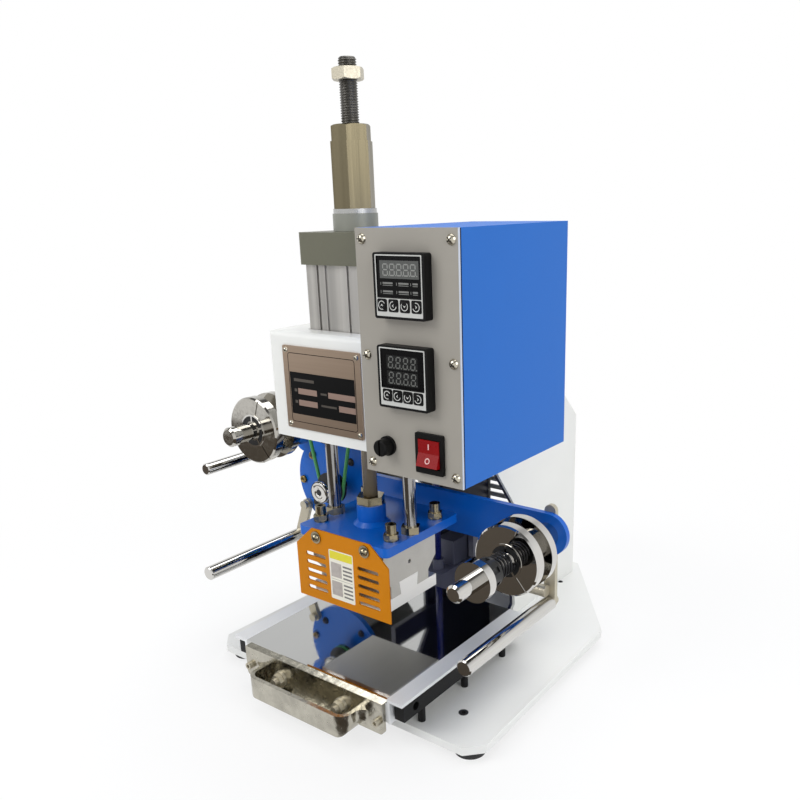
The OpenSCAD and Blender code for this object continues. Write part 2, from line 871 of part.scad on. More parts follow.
// nuts, cap screws and dome screws that hold the head together
module head_fasteners() color("lightslategray") at_ram() {
  nut(boss_top, head_nut_h, head_nut_af, rod_d);
  both_sides() {
    translate([guide_x, 0, 0]) nut(head_top, guide_nut_h, guide_nut_af, guide_d);
    for (p = head_screw_at) translate([p[0], p[1], 0]) difference() {
      union() {
        translate([0, 0, head_bottom]) cylinder(h = screw_seat - head_bottom, d = screw_d);
        translate([0, 0, head_top]) cylinder(h = washer_h, d = washer_d);
        hex_bar(head_top + washer_h, lock_nut_h, lock_nut_af);
        translate([0, 0, screw_seat]) cylinder(h = screw_head_h, d = screw_head_d);
      }
      hex_bar(screw_seat + screw_head_h / 2, screw_head_h, screw_head_d / 2);
    }
    front = -head_front - guard_t;
    bar_y(guard_screw_x, guard_top - guard_screw_drop, front - guard_washer_h, front, guard_washer_d);
    translate([guard_screw_x, front - guard_washer_h, guard_top - guard_screw_drop])
      rotate([90, 0, 0]) dome_head(guard_screw_d, guard_screw_h);
  }
}

// the board that keeps the heat out of the head
module insulation_board() color("burlywood") at_ram()
  block([-block_w / 2, -block_front, block_top], [block_w / 2, block_rear, head_bottom]);

// the tongue that hangs the hot plate, as an outline in y and z; g widens it
module tongue(g, low) polygon([
  [-tongue_front - g, low], [-tongue_front - tongue_flare - g, block_z + tongue_h + g],
  [tongue_rear + tongue_flare + g, block_z + tongue_h + g], [tongue_rear + g, low]
]);

// the cast heater block: wide above, stepped in below, slotted for the tongue
module heater_block() color("silver") at_ram() difference() {
  plate_yz(-block_w / 2, block_w / 2) difference() {
    polygon([
      [-block_front, block_top], [-block_front, block_z + step_h],
      [-block_front + step_front, block_z + step_h - step_front], [-block_front + step_front, block_z],
      [block_rear - step_rear, block_z], [block_rear - step_rear, block_z + step_h - step_rear],
      [block_rear, block_z + step_h], [block_rear, block_top]
    ]);
    tongue(tongue_play, block_z - cut);
  }
  for (y = [-heater_y, heater_y])
    bar_x(y, block_top - heater_drop, -block_w / 2 - cut, block_w / 2 - heater_end, heater_d);
  bar_x(0, block_top - probe_drop, block_w / 2 - probe_deep, block_w / 2 + cut, probe_d);
}

// two cartridge heaters, pushed in from the left
module heater_cartridges() color("gray") at_ram()
  for (y = [-heater_y, heater_y])
    bar_x(y, block_top - heater_drop, -block_w / 2 - heater_out, block_w / 2 - heater_end, heater_d);

// the hot plate with its undercut tongue
module hot_plate() color("gainsboro") at_ram() {
  block([-block_w / 2, -block_front, hot_z], [block_w / 2, block_rear, block_z]);
  plate_yz(-block_w / 2, block_w / 2) tongue(0, block_z);
}

// the slotted guard in front of the heater block
module guard() color("darkorange") at_ram() plate_xz(-head_front - guard_t, -head_front)
  difference() {
    polygon([
      [-guard_w / 2, guard_low], [guard_w / 2, guard_low],
      [guard_w / 2, guard_top - guard_shoulder], [guard_w / 2 - guard_cut, guard_top],
      [guard_cut - guard_w / 2, guard_top], [-guard_w / 2, guard_top - guard_shoulder]
    ]);
    for (s = [-1, 1]) for (i = [0:guard_slots - 1])
      translate([s * guard_slot_x, guard_top - guard_slot_drop - i * guard_slot_pitch])
        round_rect([-guard_slot_w / 2, -guard_slot_h / 2], [guard_slot_w / 2, guard_slot_h / 2],
          guard_slot_h / 2 - fit);
  }

// the polished plate
module table_plate() color("gainsboro") at_ram()
  block([-table_w / 2, -table_front, table_z - table_t], [table_w / 2, table_rear, table_z]);

// the carriage under the plate, with an angled rail along each side
module table_carriage() color("silver") at_ram() {
  block([-table_w / 2, -table_front, carriage_z], [table_w / 2, table_rear, table_z - table_t]);
  both_sides() {
    block([rail_x, -table_front, table_z - rail_h], [rail_x + rail_t, table_rear, table_z]);
    block([rail_x, -table_front, table_z - rail_t], [rail_x + rail_w, table_rear, table_z]);
  }
}

// the plan of the handle's tray, with round front corners; t draws it in
module tray_plan(t) {
  w = handle_w / 2 - t;
  front = -table_front - handle_reach + t;
  back = -table_front - handle_t;
  r = handle_round - t;
  translate([-w, front + r]) square([2 * w, back - front - r]);
  translate([r - w, front]) square([2 * w - 2 * r, back - front]);
  for (s = [-1, 1]) translate([s * (w - r), front + r]) circle(r = r);
}

// the cast handle: a tray to pull on, swept out into a back with two ears
module table_handle() color("tan") at_ram() difference() {
  union() {
    plate_xz(-table_front - handle_t, -table_front) difference() {
      round_rect([-handle_back_w / 2, handle_back_low], [handle_back_w / 2, table_z], handle_t);
      translate([-handle_back_w, table_z - table_t]) square([2 * handle_back_w, 2 * table_t]);
    }
    intersection() {
      translate([0, 0, handle_low]) linear_extrude(handle_wall_top - handle_low) tray_plan(0);
      plate_xz(-table_front - handle_reach - cut, cut - table_front)
        round_rect([-handle_w / 2, handle_low], [handle_w / 2, handle_wall_top + handle_bow], handle_bow);
    }
    both_sides() translate([handle_w / 2, -table_front - handle_t, handle_low + handle_bow])
      linear_extrude(handle_wall_top - handle_low - handle_bow) difference() {
        translate([0, -handle_sweep]) square(handle_sweep);
        translate([handle_sweep, -handle_sweep]) circle(r = handle_sweep);
      }
  }
  translate([0, 0, handle_low + handle_t]) linear_extrude(handle_wall_top) tray_plan(handle_t);
}

// the handle's screws: two stop bolts with washer and nut, two plain ones
module handle_screws() color("silver") at_ram() both_sides() {
  y = -table_front - handle_t;
  bar_y(stop_screw_x, stop_screw_z, y - stop_washer_h, y, stop_washer_d);
  translate([stop_screw_x, y - stop_washer_h, stop_screw_z]) rotate([90, 0, 0])
    hex_bar(0, stop_nut_h, stop_nut_af);
  bar_y(stop_screw_x, stop_screw_z, y - stop_washer_h - stop_nut_h - stop_bolt_h, y - stop_washer_h,
    stop_bolt_d);
  difference() {
    bar_y(ear_screw_x, ear_screw_z, y - ear_screw_h, y, ear_screw_d);
    translate([ear_screw_x, y - ear_screw_h / 2, ear_screw_z]) rotate([90, 0, 0])
      hex_bar(0, ear_screw_h, ear_screw_d / 2);
  }
}

// the black bars under the flanges, each on three posts
module guide_bars() color("black") at_ram() both_sides() difference() {
  union() {
    block([bar_x, -bar_front, bar_z], [bar_x + bar_w, bar_rear, bar_top]);
    for (y = [post_in - bar_front, (bar_rear - bar_front) / 2, bar_rear - post_in])
      translate([bar_x + bar_w / 2, y, base_top]) cylinder(h = bar_z - base_top, d = post_d);
  }
  bar_x(bar_hole_in - bar_front, bar_z + bar_h / 2, bar_x - cut, bar_x + bar_w + cut, bar_hole_d);
}

// the blue plate behind the head: two lobes on the left, an arm to the right
module support_plate() color("royalblue") at_ram() difference() {
  plate_xz(arm_y, arm_y + arm_t) union() {
    translate([-plate_right, arm_low]) square([supply_x + plate_right, arm_h]);
    translate([supply_x, supply_z]) circle(d = arm_h);
    translate([-lobe_x, lobe_z]) circle(r = lobe_r);
    translate([-takeup_x, takeup_z]) circle(r = takeup_lobe_r);
    translate([-lug_x, lug_z]) circle(r = lug_r);
    polygon([
      [-takeup_x + takeup_lobe_r, takeup_z], [-plate_right, plate_waist_z], [-plate_right, arm_low],
      [-lobe_x, lobe_z], [-lobe_left, lobe_left_z], [-lug_x, lug_z + lug_r],
      [-takeup_x - takeup_lobe_r, takeup_z]
    ]);
  }
  bar_y(supply_x, supply_z, arm_y - cut, arm_y + arm_t + cut, spindle_d);
  bar_y(-takeup_x, takeup_z, arm_y - cut, arm_y + arm_t + cut, spindle_d + 2 * cut);
  bar_y(-takeup_x, motor_z, arm_y - cut, arm_y + arm_t + cut, motor_shaft_d + 2 * cut);
}

// two flat bars from the support plate back to the cheeks
module arm_brackets() color("royalblue") at_ram() both_sides()
  block([inner_x - bracket_t, arm_y + arm_t, bracket_low], [inner_x, bracket_rear, bracket_high]);

// a polished rod along Y with a rounded front end
module foil_rod(x, z, y1, d) turned_y(x, z) polygon([
  [0, -foil_rod_front], [d / 2 - rod_round, -foil_rod_front], [d / 2, rod_round - foil_rod_front],
  [d / 2, y1], [0, y1]
]);

// the three rods that lead the foil
module foil_rods() color("silver") at_ram() {
  foil_rod(right_rod_x, rod_z, arm_y + arm_t, foil_rod_d);
  foil_rod(-left_rod_x, rod_z, arm_y - link_t, foil_rod_d);
  foil_rod(-lug_x, lug_z, arm_y, upper_rod_d);
}

// a flat link with round ends, between two points in x and z
module link(a, b, y0) plate_xz(y0, y0 + link_t) hull() {
  translate(a) circle(d = link_w, $fn = 32);
  translate(b) circle(d = link_w, $fn = 32);
}

// the links that hang the lower rods, their screws and the clamp stud
module rod_links() color("lightgray") at_ram() {
  back = arm_y + arm_t;
  link([right_rod_x, rod_z], [right_link_x, right_link_z], back);
  link([-left_rod_x, rod_z], [-left_link_x, left_link_z], arm_y - link_t);
  bar_y(-left_link_x, left_link_z, arm_y - link_t - link_screw_h, arm_y - link_t, link_screw_d);
  bar_y(right_rod_x, rod_z, back + link_t, back + link_t + link_screw_h, link_screw_d);
  bar_y(right_link_x, supply_z, back + link_t, back + link_t + link_screw_h, link_screw_d);
  bar_x(back + cut - stud_d / 2, rod_z + foil_rod_d / 2 + stud_d / 2 + 2 * run,
    right_rod_x - stud_out, right_rod_x, stud_d);
}

// the fixed supply spindle: a long nose, a bright collar and a spacer
supply_rear = supply_disc_y + 2 * disc_t + disc_gap + run;
module supply_spindle() color("silver") at_ram() turned_y(supply_x, supply_z) polygon([
  [0, -spindle_front], [spindle_d / 2 - nose_chamfer, -spindle_front],
  [spindle_d / 2, nose_chamfer - spindle_front], [spindle_d / 2, collar_y],
  [collar_d / 2, collar_y], [collar_d / 2, collar_y + collar_t], [spindle_d / 2, collar_y + collar_t],
  [spindle_d / 2, supply_rear], [spacer_d / 2, supply_rear], [spacer_d / 2, arm_y],
  [spindle_d / 2, arm_y], [spindle_d / 2, arm_y + arm_t], [0, arm_y + arm_t]
]);

// a spool: two bright discs on a hub, the front one with spokes and slit lines
module spool(x, z, y, bore) difference() {
  turned_y(x, z) polygon([
    [bore / 2, y], [disc_d / 2 - disc_round, y], [disc_d / 2, y + disc_round],
    [disc_d / 2, y + disc_t], [hub_d / 2, y + disc_t], [hub_d / 2, y + disc_t + disc_gap],
    [disc_d / 2, y + disc_t + disc_gap], [disc_d / 2, y + 2 * disc_t + disc_gap - disc_round],
    [disc_d / 2 - disc_round, y + 2 * disc_t + disc_gap], [bore / 2, y + 2 * disc_t + disc_gap]
  ]);
  difference() {
    bar_y(x, z, y - cut, y + disc_t / 2, 2 * window_out);
    bar_y(x, z, y - 2 * cut, y + disc_t, 2 * window_in);
    for (i = [0:hub_spokes - 1]) translate([x, 0, z]) rotate([0, i * 360 / hub_spokes, 0])
      block([-spoke_w / 2, y - 2 * cut, 0], [spoke_w / 2, y + disc_t, window_out + cut]);
  }
  for (i = [0:slits - 1]) translate([x, 0, z]) rotate([0, slit_turn + i * 360 / slits, 0])
    block([-slit_w / 2, y - cut, hub_d / 2], [slit_w / 2, y + slit_deep, disc_d / 2 + cut]);
}

// the supply spool, which turns on the fixed spindle
module supply_discs() color("silver") at_ram()
  spool(supply_x, supply_z, supply_disc_y, spindle_d + 2 * fit);

// the black fluted hand knob, which presses the spring
knob_y = collar_y + collar_t + run;
module tension_knob() color("black") at_ram() difference() {
  turned_y(supply_x, supply_z) polygon([
    [spindle_d / 2 + fit, knob_y], [knob_d / 2 - rod_round, knob_y], [knob_d / 2, knob_y + rod_round],
    [knob_d / 2, knob_y + knob_t], [spindle_d / 2 + fit, knob_y + knob_t]
  ]);
  for (i = [0:knob_flutes - 1]) translate([supply_x, 0, supply_z])
    rotate([0, i * 360 / knob_flutes, 0])
      bar_y(0, knob_d / 2 + flute_d / 3, knob_y - cut, knob_y + knob_t * 0.8, flute_d);
}

// the tension spring between the knob and the front disc, one open coil
spring_y0 = knob_y + knob_t + run;
spring_pitch = (supply_disc_y - run - spring_y0 - spring_wire) / spring_turns;
spring_r = (spring_d - spring_wire) / 2;
spring_last = spring_turns * spring_rings;
function spring_at(i) = [supply_x + spring_r * cos(i * 360 / spring_rings),
  spring_y0 + spring_wire / 2 + spring_pitch * i / spring_rings,
  supply_z + spring_r * sin(i * 360 / spring_rings)];
spring_gap = min([for (i = [0:spring_last]) for (j = [i + spring_rings / 2:1:spring_last])
  norm(spring_at(j) - spring_at(i))]) - spring_wire;
echo(spring_gap = spring_gap);
module tension_spring() color("dimgray") at_ram() swept([
  for (i = [0:spring_last]) let (a = i * 360 / spring_rings)
    [spring_at(i), [cos(a), 0, sin(a)], [0, 1, 0]]
], spring_wire / 2, spring_sides, false);

// the turning take-up spindle with its pulley and a collar behind the plate
pulley_r = takeup_pulley_d / 2;
groove_r = pulley_r - pulley_rim;
groove_half = belt_d / 2 + run;
pulley_y = belt_y - pulley_t / 2;
module takeup_spindle() color("silver") at_ram() turned_y(-takeup_x, takeup_z) polygon([
  [0, -spindle_front], [nose_d / 2 - nose_chamfer, -spindle_front],
  [nose_d / 2, nose_chamfer - spindle_front], [nose_d / 2, nose_t - spindle_front],
  [spindle_d / 2, nose_t - spindle_front], [spindle_d / 2, pulley_y],
  [pulley_r, pulley_y], [pulley_r, belt_y - groove_half], [groove_r, belt_y - groove_half],
  [groove_r, belt_y + groove_half], [pulley_r, belt_y + groove_half], [pulley_r, pulley_y + pulley_t],
  [spindle_d / 2, pulley_y + pulley_t], [spindle_d / 2, arm_y + arm_t + run],
  [spacer_d / 2, arm_y + arm_t + run], [spacer_d / 2, arm_y + arm_t + run + rear_collar_t],
  [0, arm_y + arm_t + run + rear_collar_t]
]);

// the take-up spool, fixed on the turning spindle
module takeup_discs() color("silver") at_ram()
  spool(-takeup_x, takeup_z, takeup_disc_y, spindle_d);

// the flanged bearing of the take-up spindle, on the front of the plate
module takeup_bearing() color("gray") at_ram() turned_y(-takeup_x, takeup_z) polygon([
  [spindle_d / 2 + fit, arm_y - bearing_t], [spacer_d / 2, arm_y - bearing_t],
  [spacer_d / 2, arm_y - bearing_t / 2], [bearing_d / 2, arm_y - bearing_t / 2],
  [bearing_d / 2, arm_y], [spindle_d / 2 + fit, arm_y]
]);

// the gear motor behind the plate, and its four screws on the front
module drive_motor() color("dimgray") at_ram() difference() {
  union() {
    plate_xz(arm_y + arm_t, arm_y + arm_t + motor_box_t) translate([-lobe_x, lobe_z])
      round_rect([-motor_box_w / 2, -motor_box_w / 2], [motor_box_w / 2, motor_box_w / 2], motor_round);
    bar_y(-lobe_x, lobe_z, arm_y + arm_t + motor_box_t, arm_y + arm_t + motor_box_t + motor_can_t,
      motor_can_d);
    for (x = [-1, 1]) for (z = [-1, 1])
      translate([-lobe_x + x * motor_screw_pitch / 2, arm_y, lobe_z + z * motor_screw_pitch / 2])
        rotate([90, 0, 0]) dome_head(motor_screw_d, motor_screw_h);
  }
  bar_y(-takeup_x, motor_z, arm_y + arm_t - cut, arm_y + arm_t + motor_box_t / 2, motor_shaft_d + 2 * fit);
}

// the black motor pulley on its shaft, with a bright thumb disc in front
motor_r = motor_pulley_d / 2;
motor_groove_r = motor_r - pulley_rim;
shaft_end = arm_y + arm_t + motor_box_t / 2 - run;
module motor_pulley() color("dimgray") at_ram() turned_y(-takeup_x, motor_z) polygon([
  [0, thumb_y], [thumb_d / 2, thumb_y], [thumb_d / 2, thumb_y + thumb_t],
  [motor_shaft_d / 2, thumb_y + thumb_t], [motor_shaft_d / 2, pulley_y], [motor_r, pulley_y],
  [motor_r, belt_y - groove_half], [motor_groove_r, belt_y - groove_half],
  [motor_groove_r, belt_y + groove_half], [motor_r, belt_y + groove_half],
  [motor_r, pulley_y + pulley_t], [motor_shaft_d / 2, pulley_y + pulley_t],
  [motor_shaft_d / 2, shaft_end], [0, shaft_end]
]);

// the round belt: two arcs on the pulleys joined by their common tangents
belt_big = groove_r + belt_d / 2 + run;
belt_small = motor_groove_r + belt_d / 2 + run;
belt_lean = asin((belt_big - belt_small) / (takeup_z - motor_z));
module drive_belt() color("limegreen") at_ram() swept([
  for (end = [[takeup_z, belt_big, -belt_lean, 180 + 2 * belt_lean],
      [motor_z, belt_small, 180 + belt_lean, 180 - 2 * belt_lean]])
    for (i = [0:belt_steps]) let (a = end[2] + end[3] * i / belt_steps)
      [[-takeup_x + end[1] * cos(a), belt_y, end[0] + end[1] * sin(a)], [cos(a), 0, sin(a)], [0, 1, 0]]
], belt_d / 2, belt_sides, true);

// the blue shell, open at the front, with a cable gland in its back
module box_shell() color("cornflowerblue") at_ram() difference() {
  union() {
    difference() {
      block([box_x, shell_y, box_z], [box_x + box_w, shell_y + box_depth, box_z + box_h]);
      block([box_x + box_wall, shell_y - cut, box_z + box_wall],
        [box_x + box_w - box_wall, shell_y + box_depth - box_wall, box_z + box_h - box_wall]);
    }
    translate([box_x + box_w / 2, shell_y + box_depth, box_z + gland_af]) rotate([-90, 0, 0]) {
      hex_bar(0, gland_t / 2, gland_af);
      cylinder(h = gland_t, d = gland_d);
    }
  }
  bar_y(box_x + box_w / 2, box_z + gland_af, shell_y + box_depth - box_wall - cut,
    shell_y + box_depth + gland_t + cut, gland_hole_d);
}

// the grey panel with its cut-outs
module front_panel() color("gray") at_ram() plate_xz(face_y, shell_y) difference() {
  translate([box_x, box_z]) square([box_w, box_h]);
  for (z = [timer_z, heat_z]) translate([meter_x - meter_case_w / 2, z - meter_case_w / 2])
    square(meter_case_w);
  translate([fuse_x, fuse_z]) circle(d = fuse_body_d);
  translate([switch_x - rocker_w / 2 - box_wall, switch_z - rocker_h / 2 - box_wall])
    square([rocker_w + 2 * box_wall, rocker_h + 2 * box_wall]);
}

// the place of a key in its row
function key_at(k, pitch) = meter_x + (k - (keys - 1) / 2) * pitch;

// one meter: case, bezel with a sunk window, and the bores of its keys
module meter(z, pitch) difference() {
  union() {
    block([meter_x - meter_case_w / 2, face_y, z - meter_case_w / 2],
      [meter_x + meter_case_w / 2, face_y + meter_in, z + meter_case_w / 2]);
    plate_xz(face_y - meter_out, face_y) translate([meter_x, z])
      round_rect([-meter_w / 2, -meter_w / 2], [meter_w / 2, meter_w / 2], meter_round);
  }
  block([meter_x - window_w / 2, face_y - meter_out - cut, z + window_up - window_h / 2],
    [meter_x + window_w / 2, face_y - meter_out + window_deep, z + window_up + window_h / 2]);
  for (k = [0:keys - 1])
    bar_y(key_at(k, pitch), z - key_drop, face_y - meter_out - cut,
      face_y - meter_out + key_back + key_travel + key_play, key_d + 2 * key_play);
}

// both meters
module meters() color("dimgray") at_ram() {
  meter(timer_z, timer_pitch);
  meter(heat_z, heat_pitch);
}

// one push key, slightly proud of its bezel
module meter_key(k, z, pitch) color("black") at_ram()
  turned_y(key_at(k, pitch), z - key_drop) polygon([
    [0, face_y - meter_out - key_out], [key_d / 2 - key_play, face_y - meter_out - key_out],
    [key_d / 2, face_y - meter_out - key_out + key_play], [key_d / 2, face_y - meter_out + key_back],
    [0, face_y - meter_out + key_back]
  ]);

module timer_key_1() meter_key(0, timer_z, timer_pitch);
module timer_key_2() meter_key(1, timer_z, timer_pitch);
module timer_key_3() meter_key(2, timer_z, timer_pitch);
module timer_key_4() meter_key(3, timer_z, timer_pitch);
module heat_key_1() meter_key(0, heat_z, heat_pitch);
module heat_key_2() meter_key(1, heat_z, heat_pitch);
module heat_key_3() meter_key(2, heat_z, heat_pitch);
module heat_key_4() meter_key(3, heat_z, heat_pitch);

// the fuse holder: flange in front of the panel, body behind it
module fuse_holder() color("black") at_ram() turned_y(fuse_x, fuse_z) polygon([
  [0, face_y - fuse_flange_t], [fuse_flange_d / 2, face_y - fuse_flange_t],
  [fuse_flange_d / 2, face_y], [fuse_body_d / 2, face_y],
  [fuse_body_d / 2, face_y + fuse_body_t], [0, face_y + fuse_body_t]
]);

// the bayonet cap of the fuse holder, with its screwdriver slot
module fuse_cap() color("black") at_ram() {
  y1 = face_y - fuse_flange_t - fit;
  difference() {
    turned_y(fuse_x, fuse_z) polygon([
      [0, y1 - fuse_cap_t], [fuse_cap_d / 2 - rod_round, y1 - fuse_cap_t],
      [fuse_cap_d / 2, y1 - fuse_cap_t + rod_round], [fuse_cap_d / 2, y1], [0, y1]
    ]);
    block([fuse_x - fuse_slot_w / 2, y1 - fuse_cap_t - cut, fuse_z - fuse_cap_d],
      [fuse_x + fuse_slot_w / 2, y1 - fuse_cap_t + fuse_slot_deep, fuse_z + fuse_cap_d]);
  }
}

// the switch's bezel and its hollow body
module switch_bezel() color("black") at_ram() difference() {
  union() {
    plate_xz(face_y - switch_t, face_y) translate([switch_x, switch_z])
      round_rect([-switch_w / 2, -switch_h / 2], [switch_w / 2, switch_h / 2], rod_round);
    block([switch_x - rocker_w / 2 - box_wall, face_y, switch_z - rocker_h / 2 - box_wall],
      [switch_x + rocker_w / 2 + box_wall, face_y + switch_deep, switch_z + rocker_h / 2 + box_wall]);
  }
  block([switch_x - rocker_w / 2, face_y - switch_t - cut, switch_z - rocker_h / 2],
    [switch_x + rocker_w / 2, face_y + switch_deep - box_wall, switch_z + rocker_h / 2]);
  bar_x(face_y, switch_z, switch_x - rocker_w / 2 - box_wall - cut,
    switch_x + rocker_w / 2 + box_wall + cut, rocker_pin_d + 2 * fit);
}

// the rocker, at rest with its upper end pressed in
module switch_rocker() color("red") at_ram() translate([switch_x, face_y, switch_z])
  rotate([-rocker_tilt, 0, 0]) {
    plate_yz(run - rocker_w / 2, rocker_w / 2 - run) polygon([
      [rocker_back, 0], [0, rocker_half], [-rocker_tip, rocker_half],
      [-rocker_dip, 0], [-rocker_tip, -rocker_half], [0, -rocker_half]
    ]);
    bar_x(0, 0, run - rocker_w / 2 - box_wall, rocker_w / 2 + box_wall - run, rocker_pin_d);
  }

// the solenoid valve at the foot of the column, with a fitting on top
module air_valve() color("gainsboro") at_ram() {
  block([valve_x - valve_w / 2, valve_y - valve_w / 2, base_top],
    [valve_x + valve_w / 2, valve_y - valve_w / 2 + valve_l, base_top + valve_h]);
  block([valve_x - coil_w / 2, valve_y + valve_w / 2, base_top + valve_h],
    [valve_x + coil_w / 2, valve_y + valve_w / 2 + coil_l, base_top + valve_h + coil_h]);
  translate([valve_x, valve_y, base_top + valve_h]) cylinder(h = fitting_h, d = fitting_d);
}

// the hose: straight up from the valve, then over the bridge into the lower cap
hose_z0 = base_top + valve_h + fitting_h;
hose_y1 = cap_w / 2 + fitting_h;
hose_knee_share = 0.72;
hose_a = [valve_x, valve_y, port_z * hose_knee_share];
hose_b = [valve_x, valve_y, port_z + 2 * hose_d];
hose_c = [0, valve_y - 2 * hose_d, port_z];
hose_e = [0, hose_y1, port_z];
function curve(t) = (1 - t) * (1 - t) * (1 - t) * hose_a + 3 * t * (1 - t) * (1 - t) * hose_b
  + 3 * t * t * (1 - t) * hose_c + t * t * t * hose_e;
function slope(t) = (1 - t) * (1 - t) * (hose_b - hose_a) + 2 * t * (1 - t) * (hose_c - hose_b)
  + t * t * (hose_e - hose_c);
function side(v) = let (w = cross(v, [1, 0, 0])) w / norm(w);
function other(v) = let (w = cross(side(v), v)) w / norm(w);
module air_hose() color("navy") at_ram() {
  swept(concat(
    [[[valve_x, valve_y, hose_z0], other([0, 0, 1]), side([0, 0, 1])]],
    [for (i = [0:hose_rings]) let (t = i / hose_rings) [curve(t), other(slope(t)), side(slope(t))]]
  ), hose_d / 2, hose_sides, false);
  bar_y(0, port_z, cap_w / 2, hose_y1, fitting_d);
}

base_plate();
rubber_feet();
frame_plates();
side_panels();
rear_cover();
front_cover();
name_plate();
dome_screws();
bridge_plate();
guide_bushes();
end_caps();
cylinder_tube();
stop_sleeve();
piston();
piston_rod();
stroke_nut();
head_plate();
guide_rods();
head_fasteners();
insulation_board();
heater_block();
heater_cartridges();
hot_plate();
guard();
table_plate();
table_carriage();
table_handle();
handle_screws();
guide_bars();
support_plate();
arm_brackets();
foil_rods();
rod_links();
supply_spindle();
supply_discs();
tension_knob();
tension_spring();
takeup_spindle();
takeup_discs();
takeup_bearing();
drive_motor();
motor_pulley();
drive_belt();
box_shell();
front_panel();
meters();
timer_key_1();
timer_key_2();
timer_key_3();
timer_key_4();
heat_key_1();
heat_key_2();
heat_key_3();
heat_key_4();
fuse_holder();
fuse_cap();
switch_bezel();
switch_rocker();
air_valve();
air_hose();
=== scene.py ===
import math

import bpy
import numpy as np
from mathutils import Matrix, Vector


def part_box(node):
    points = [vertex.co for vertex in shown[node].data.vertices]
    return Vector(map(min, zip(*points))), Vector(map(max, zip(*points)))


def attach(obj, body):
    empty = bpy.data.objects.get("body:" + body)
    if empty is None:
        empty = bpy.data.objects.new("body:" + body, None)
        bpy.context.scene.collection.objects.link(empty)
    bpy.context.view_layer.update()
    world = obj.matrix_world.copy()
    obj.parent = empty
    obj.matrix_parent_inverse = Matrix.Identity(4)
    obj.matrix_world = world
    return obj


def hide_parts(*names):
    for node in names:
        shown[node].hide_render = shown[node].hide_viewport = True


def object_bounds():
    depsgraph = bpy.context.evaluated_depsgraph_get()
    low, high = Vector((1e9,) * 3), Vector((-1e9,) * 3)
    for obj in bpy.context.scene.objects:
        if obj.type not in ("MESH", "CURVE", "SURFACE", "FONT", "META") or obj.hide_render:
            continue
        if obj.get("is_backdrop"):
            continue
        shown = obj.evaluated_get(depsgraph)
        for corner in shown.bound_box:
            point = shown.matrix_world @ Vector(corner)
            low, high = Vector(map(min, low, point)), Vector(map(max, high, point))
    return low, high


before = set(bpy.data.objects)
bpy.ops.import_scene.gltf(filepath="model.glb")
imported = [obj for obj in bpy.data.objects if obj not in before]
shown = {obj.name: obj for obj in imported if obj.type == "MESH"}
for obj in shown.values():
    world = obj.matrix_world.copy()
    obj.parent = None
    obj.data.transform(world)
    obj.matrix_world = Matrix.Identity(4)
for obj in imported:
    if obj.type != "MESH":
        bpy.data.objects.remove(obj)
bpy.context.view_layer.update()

# THE STUDIO
# A pale floor under a white background, seen by a 37 mm lens from the front
# right, under three broad soft lamps. Polished parts alone see a dark band in
# the sky and two dark cloths on the floor in front.
scene = bpy.context.scene
scene.view_settings.view_transform = "Standard"
camera_place = Vector((0.50895, -0.644, 0.4591))
camera_turn, camera_drop, camera_roll = map(math.radians, (36.5, 17.2, -1.3))
forward = Vector((
    -math.sin(camera_turn) * math.cos(camera_drop),
    math.cos(camera_turn) * math.cos(camera_drop),
    -math.sin(camera_drop),
))
level = forward.cross(Vector((0, 0, 1))).normalized()
upright = level.cross(forward)
across = math.cos(camera_roll) * level + math.sin(camera_roll) * upright
upward = math.cos(camera_roll) * upright - math.sin(camera_roll) * level
lens = bpy.data.cameras.new("bench view")
lens.lens, lens.sensor_width = 36.88, 36.0
lens.shift_x, lens.shift_y = -0.0652, 0.071
lens.clip_start, lens.clip_end = 0.01, 50
camera = bpy.data.objects.new("bench view", lens)
turned_to = Matrix((across, upward, -forward)).transposed().to_4x4()
camera.matrix_world = Matrix.Translation(camera_place) @ turned_to
scene.collection.objects.link(camera)
scene.camera = camera


def lamp(name, place, size, power):
    """A square soft lamp of that size in metres, turned to the machine's middle."""
    light = bpy.data.lights.new(name, "AREA")
    light.energy, light.size = power, size
    holder = bpy.data.objects.new(name, light)
    holder.location = place
    aim = Vector((0, 0, 0.25)) - Vector(place)
    holder.rotation_euler = aim.to_track_quat("-Z", "Y").to_euler()
    scene.collection.objects.link(holder)


lamp("key lamp", (-0.9, -1.9, 1.9), 1.5, 34)
lamp("side lamp", (2.2, -0.5, 1.2), 1.6, 22)
lamp("top lamp", (0.1, 0.6, 2.4), 1.8, 34)


def seen_share(nodes, links):
    """How much of the white ground a ray sees: all of it for the camera, for mirrors
    and through clear parts, and none for the soft light that falls on the machine."""
    ray = nodes.new("ShaderNodeLightPath")
    first, both = nodes.new("ShaderNodeMath"), nodes.new("ShaderNodeMath")
    first.operation = both.operation = "MAXIMUM"
    links.new(ray.outputs["Is Camera Ray"], first.inputs[0])
    links.new(ray.outputs["Is Glossy Ray"], first.inputs[1])
    links.new(first.outputs[0], both.inputs[0])
    links.new(ray.outputs["Is Transmission Ray"], both.inputs[1])
    return both.outputs[0]


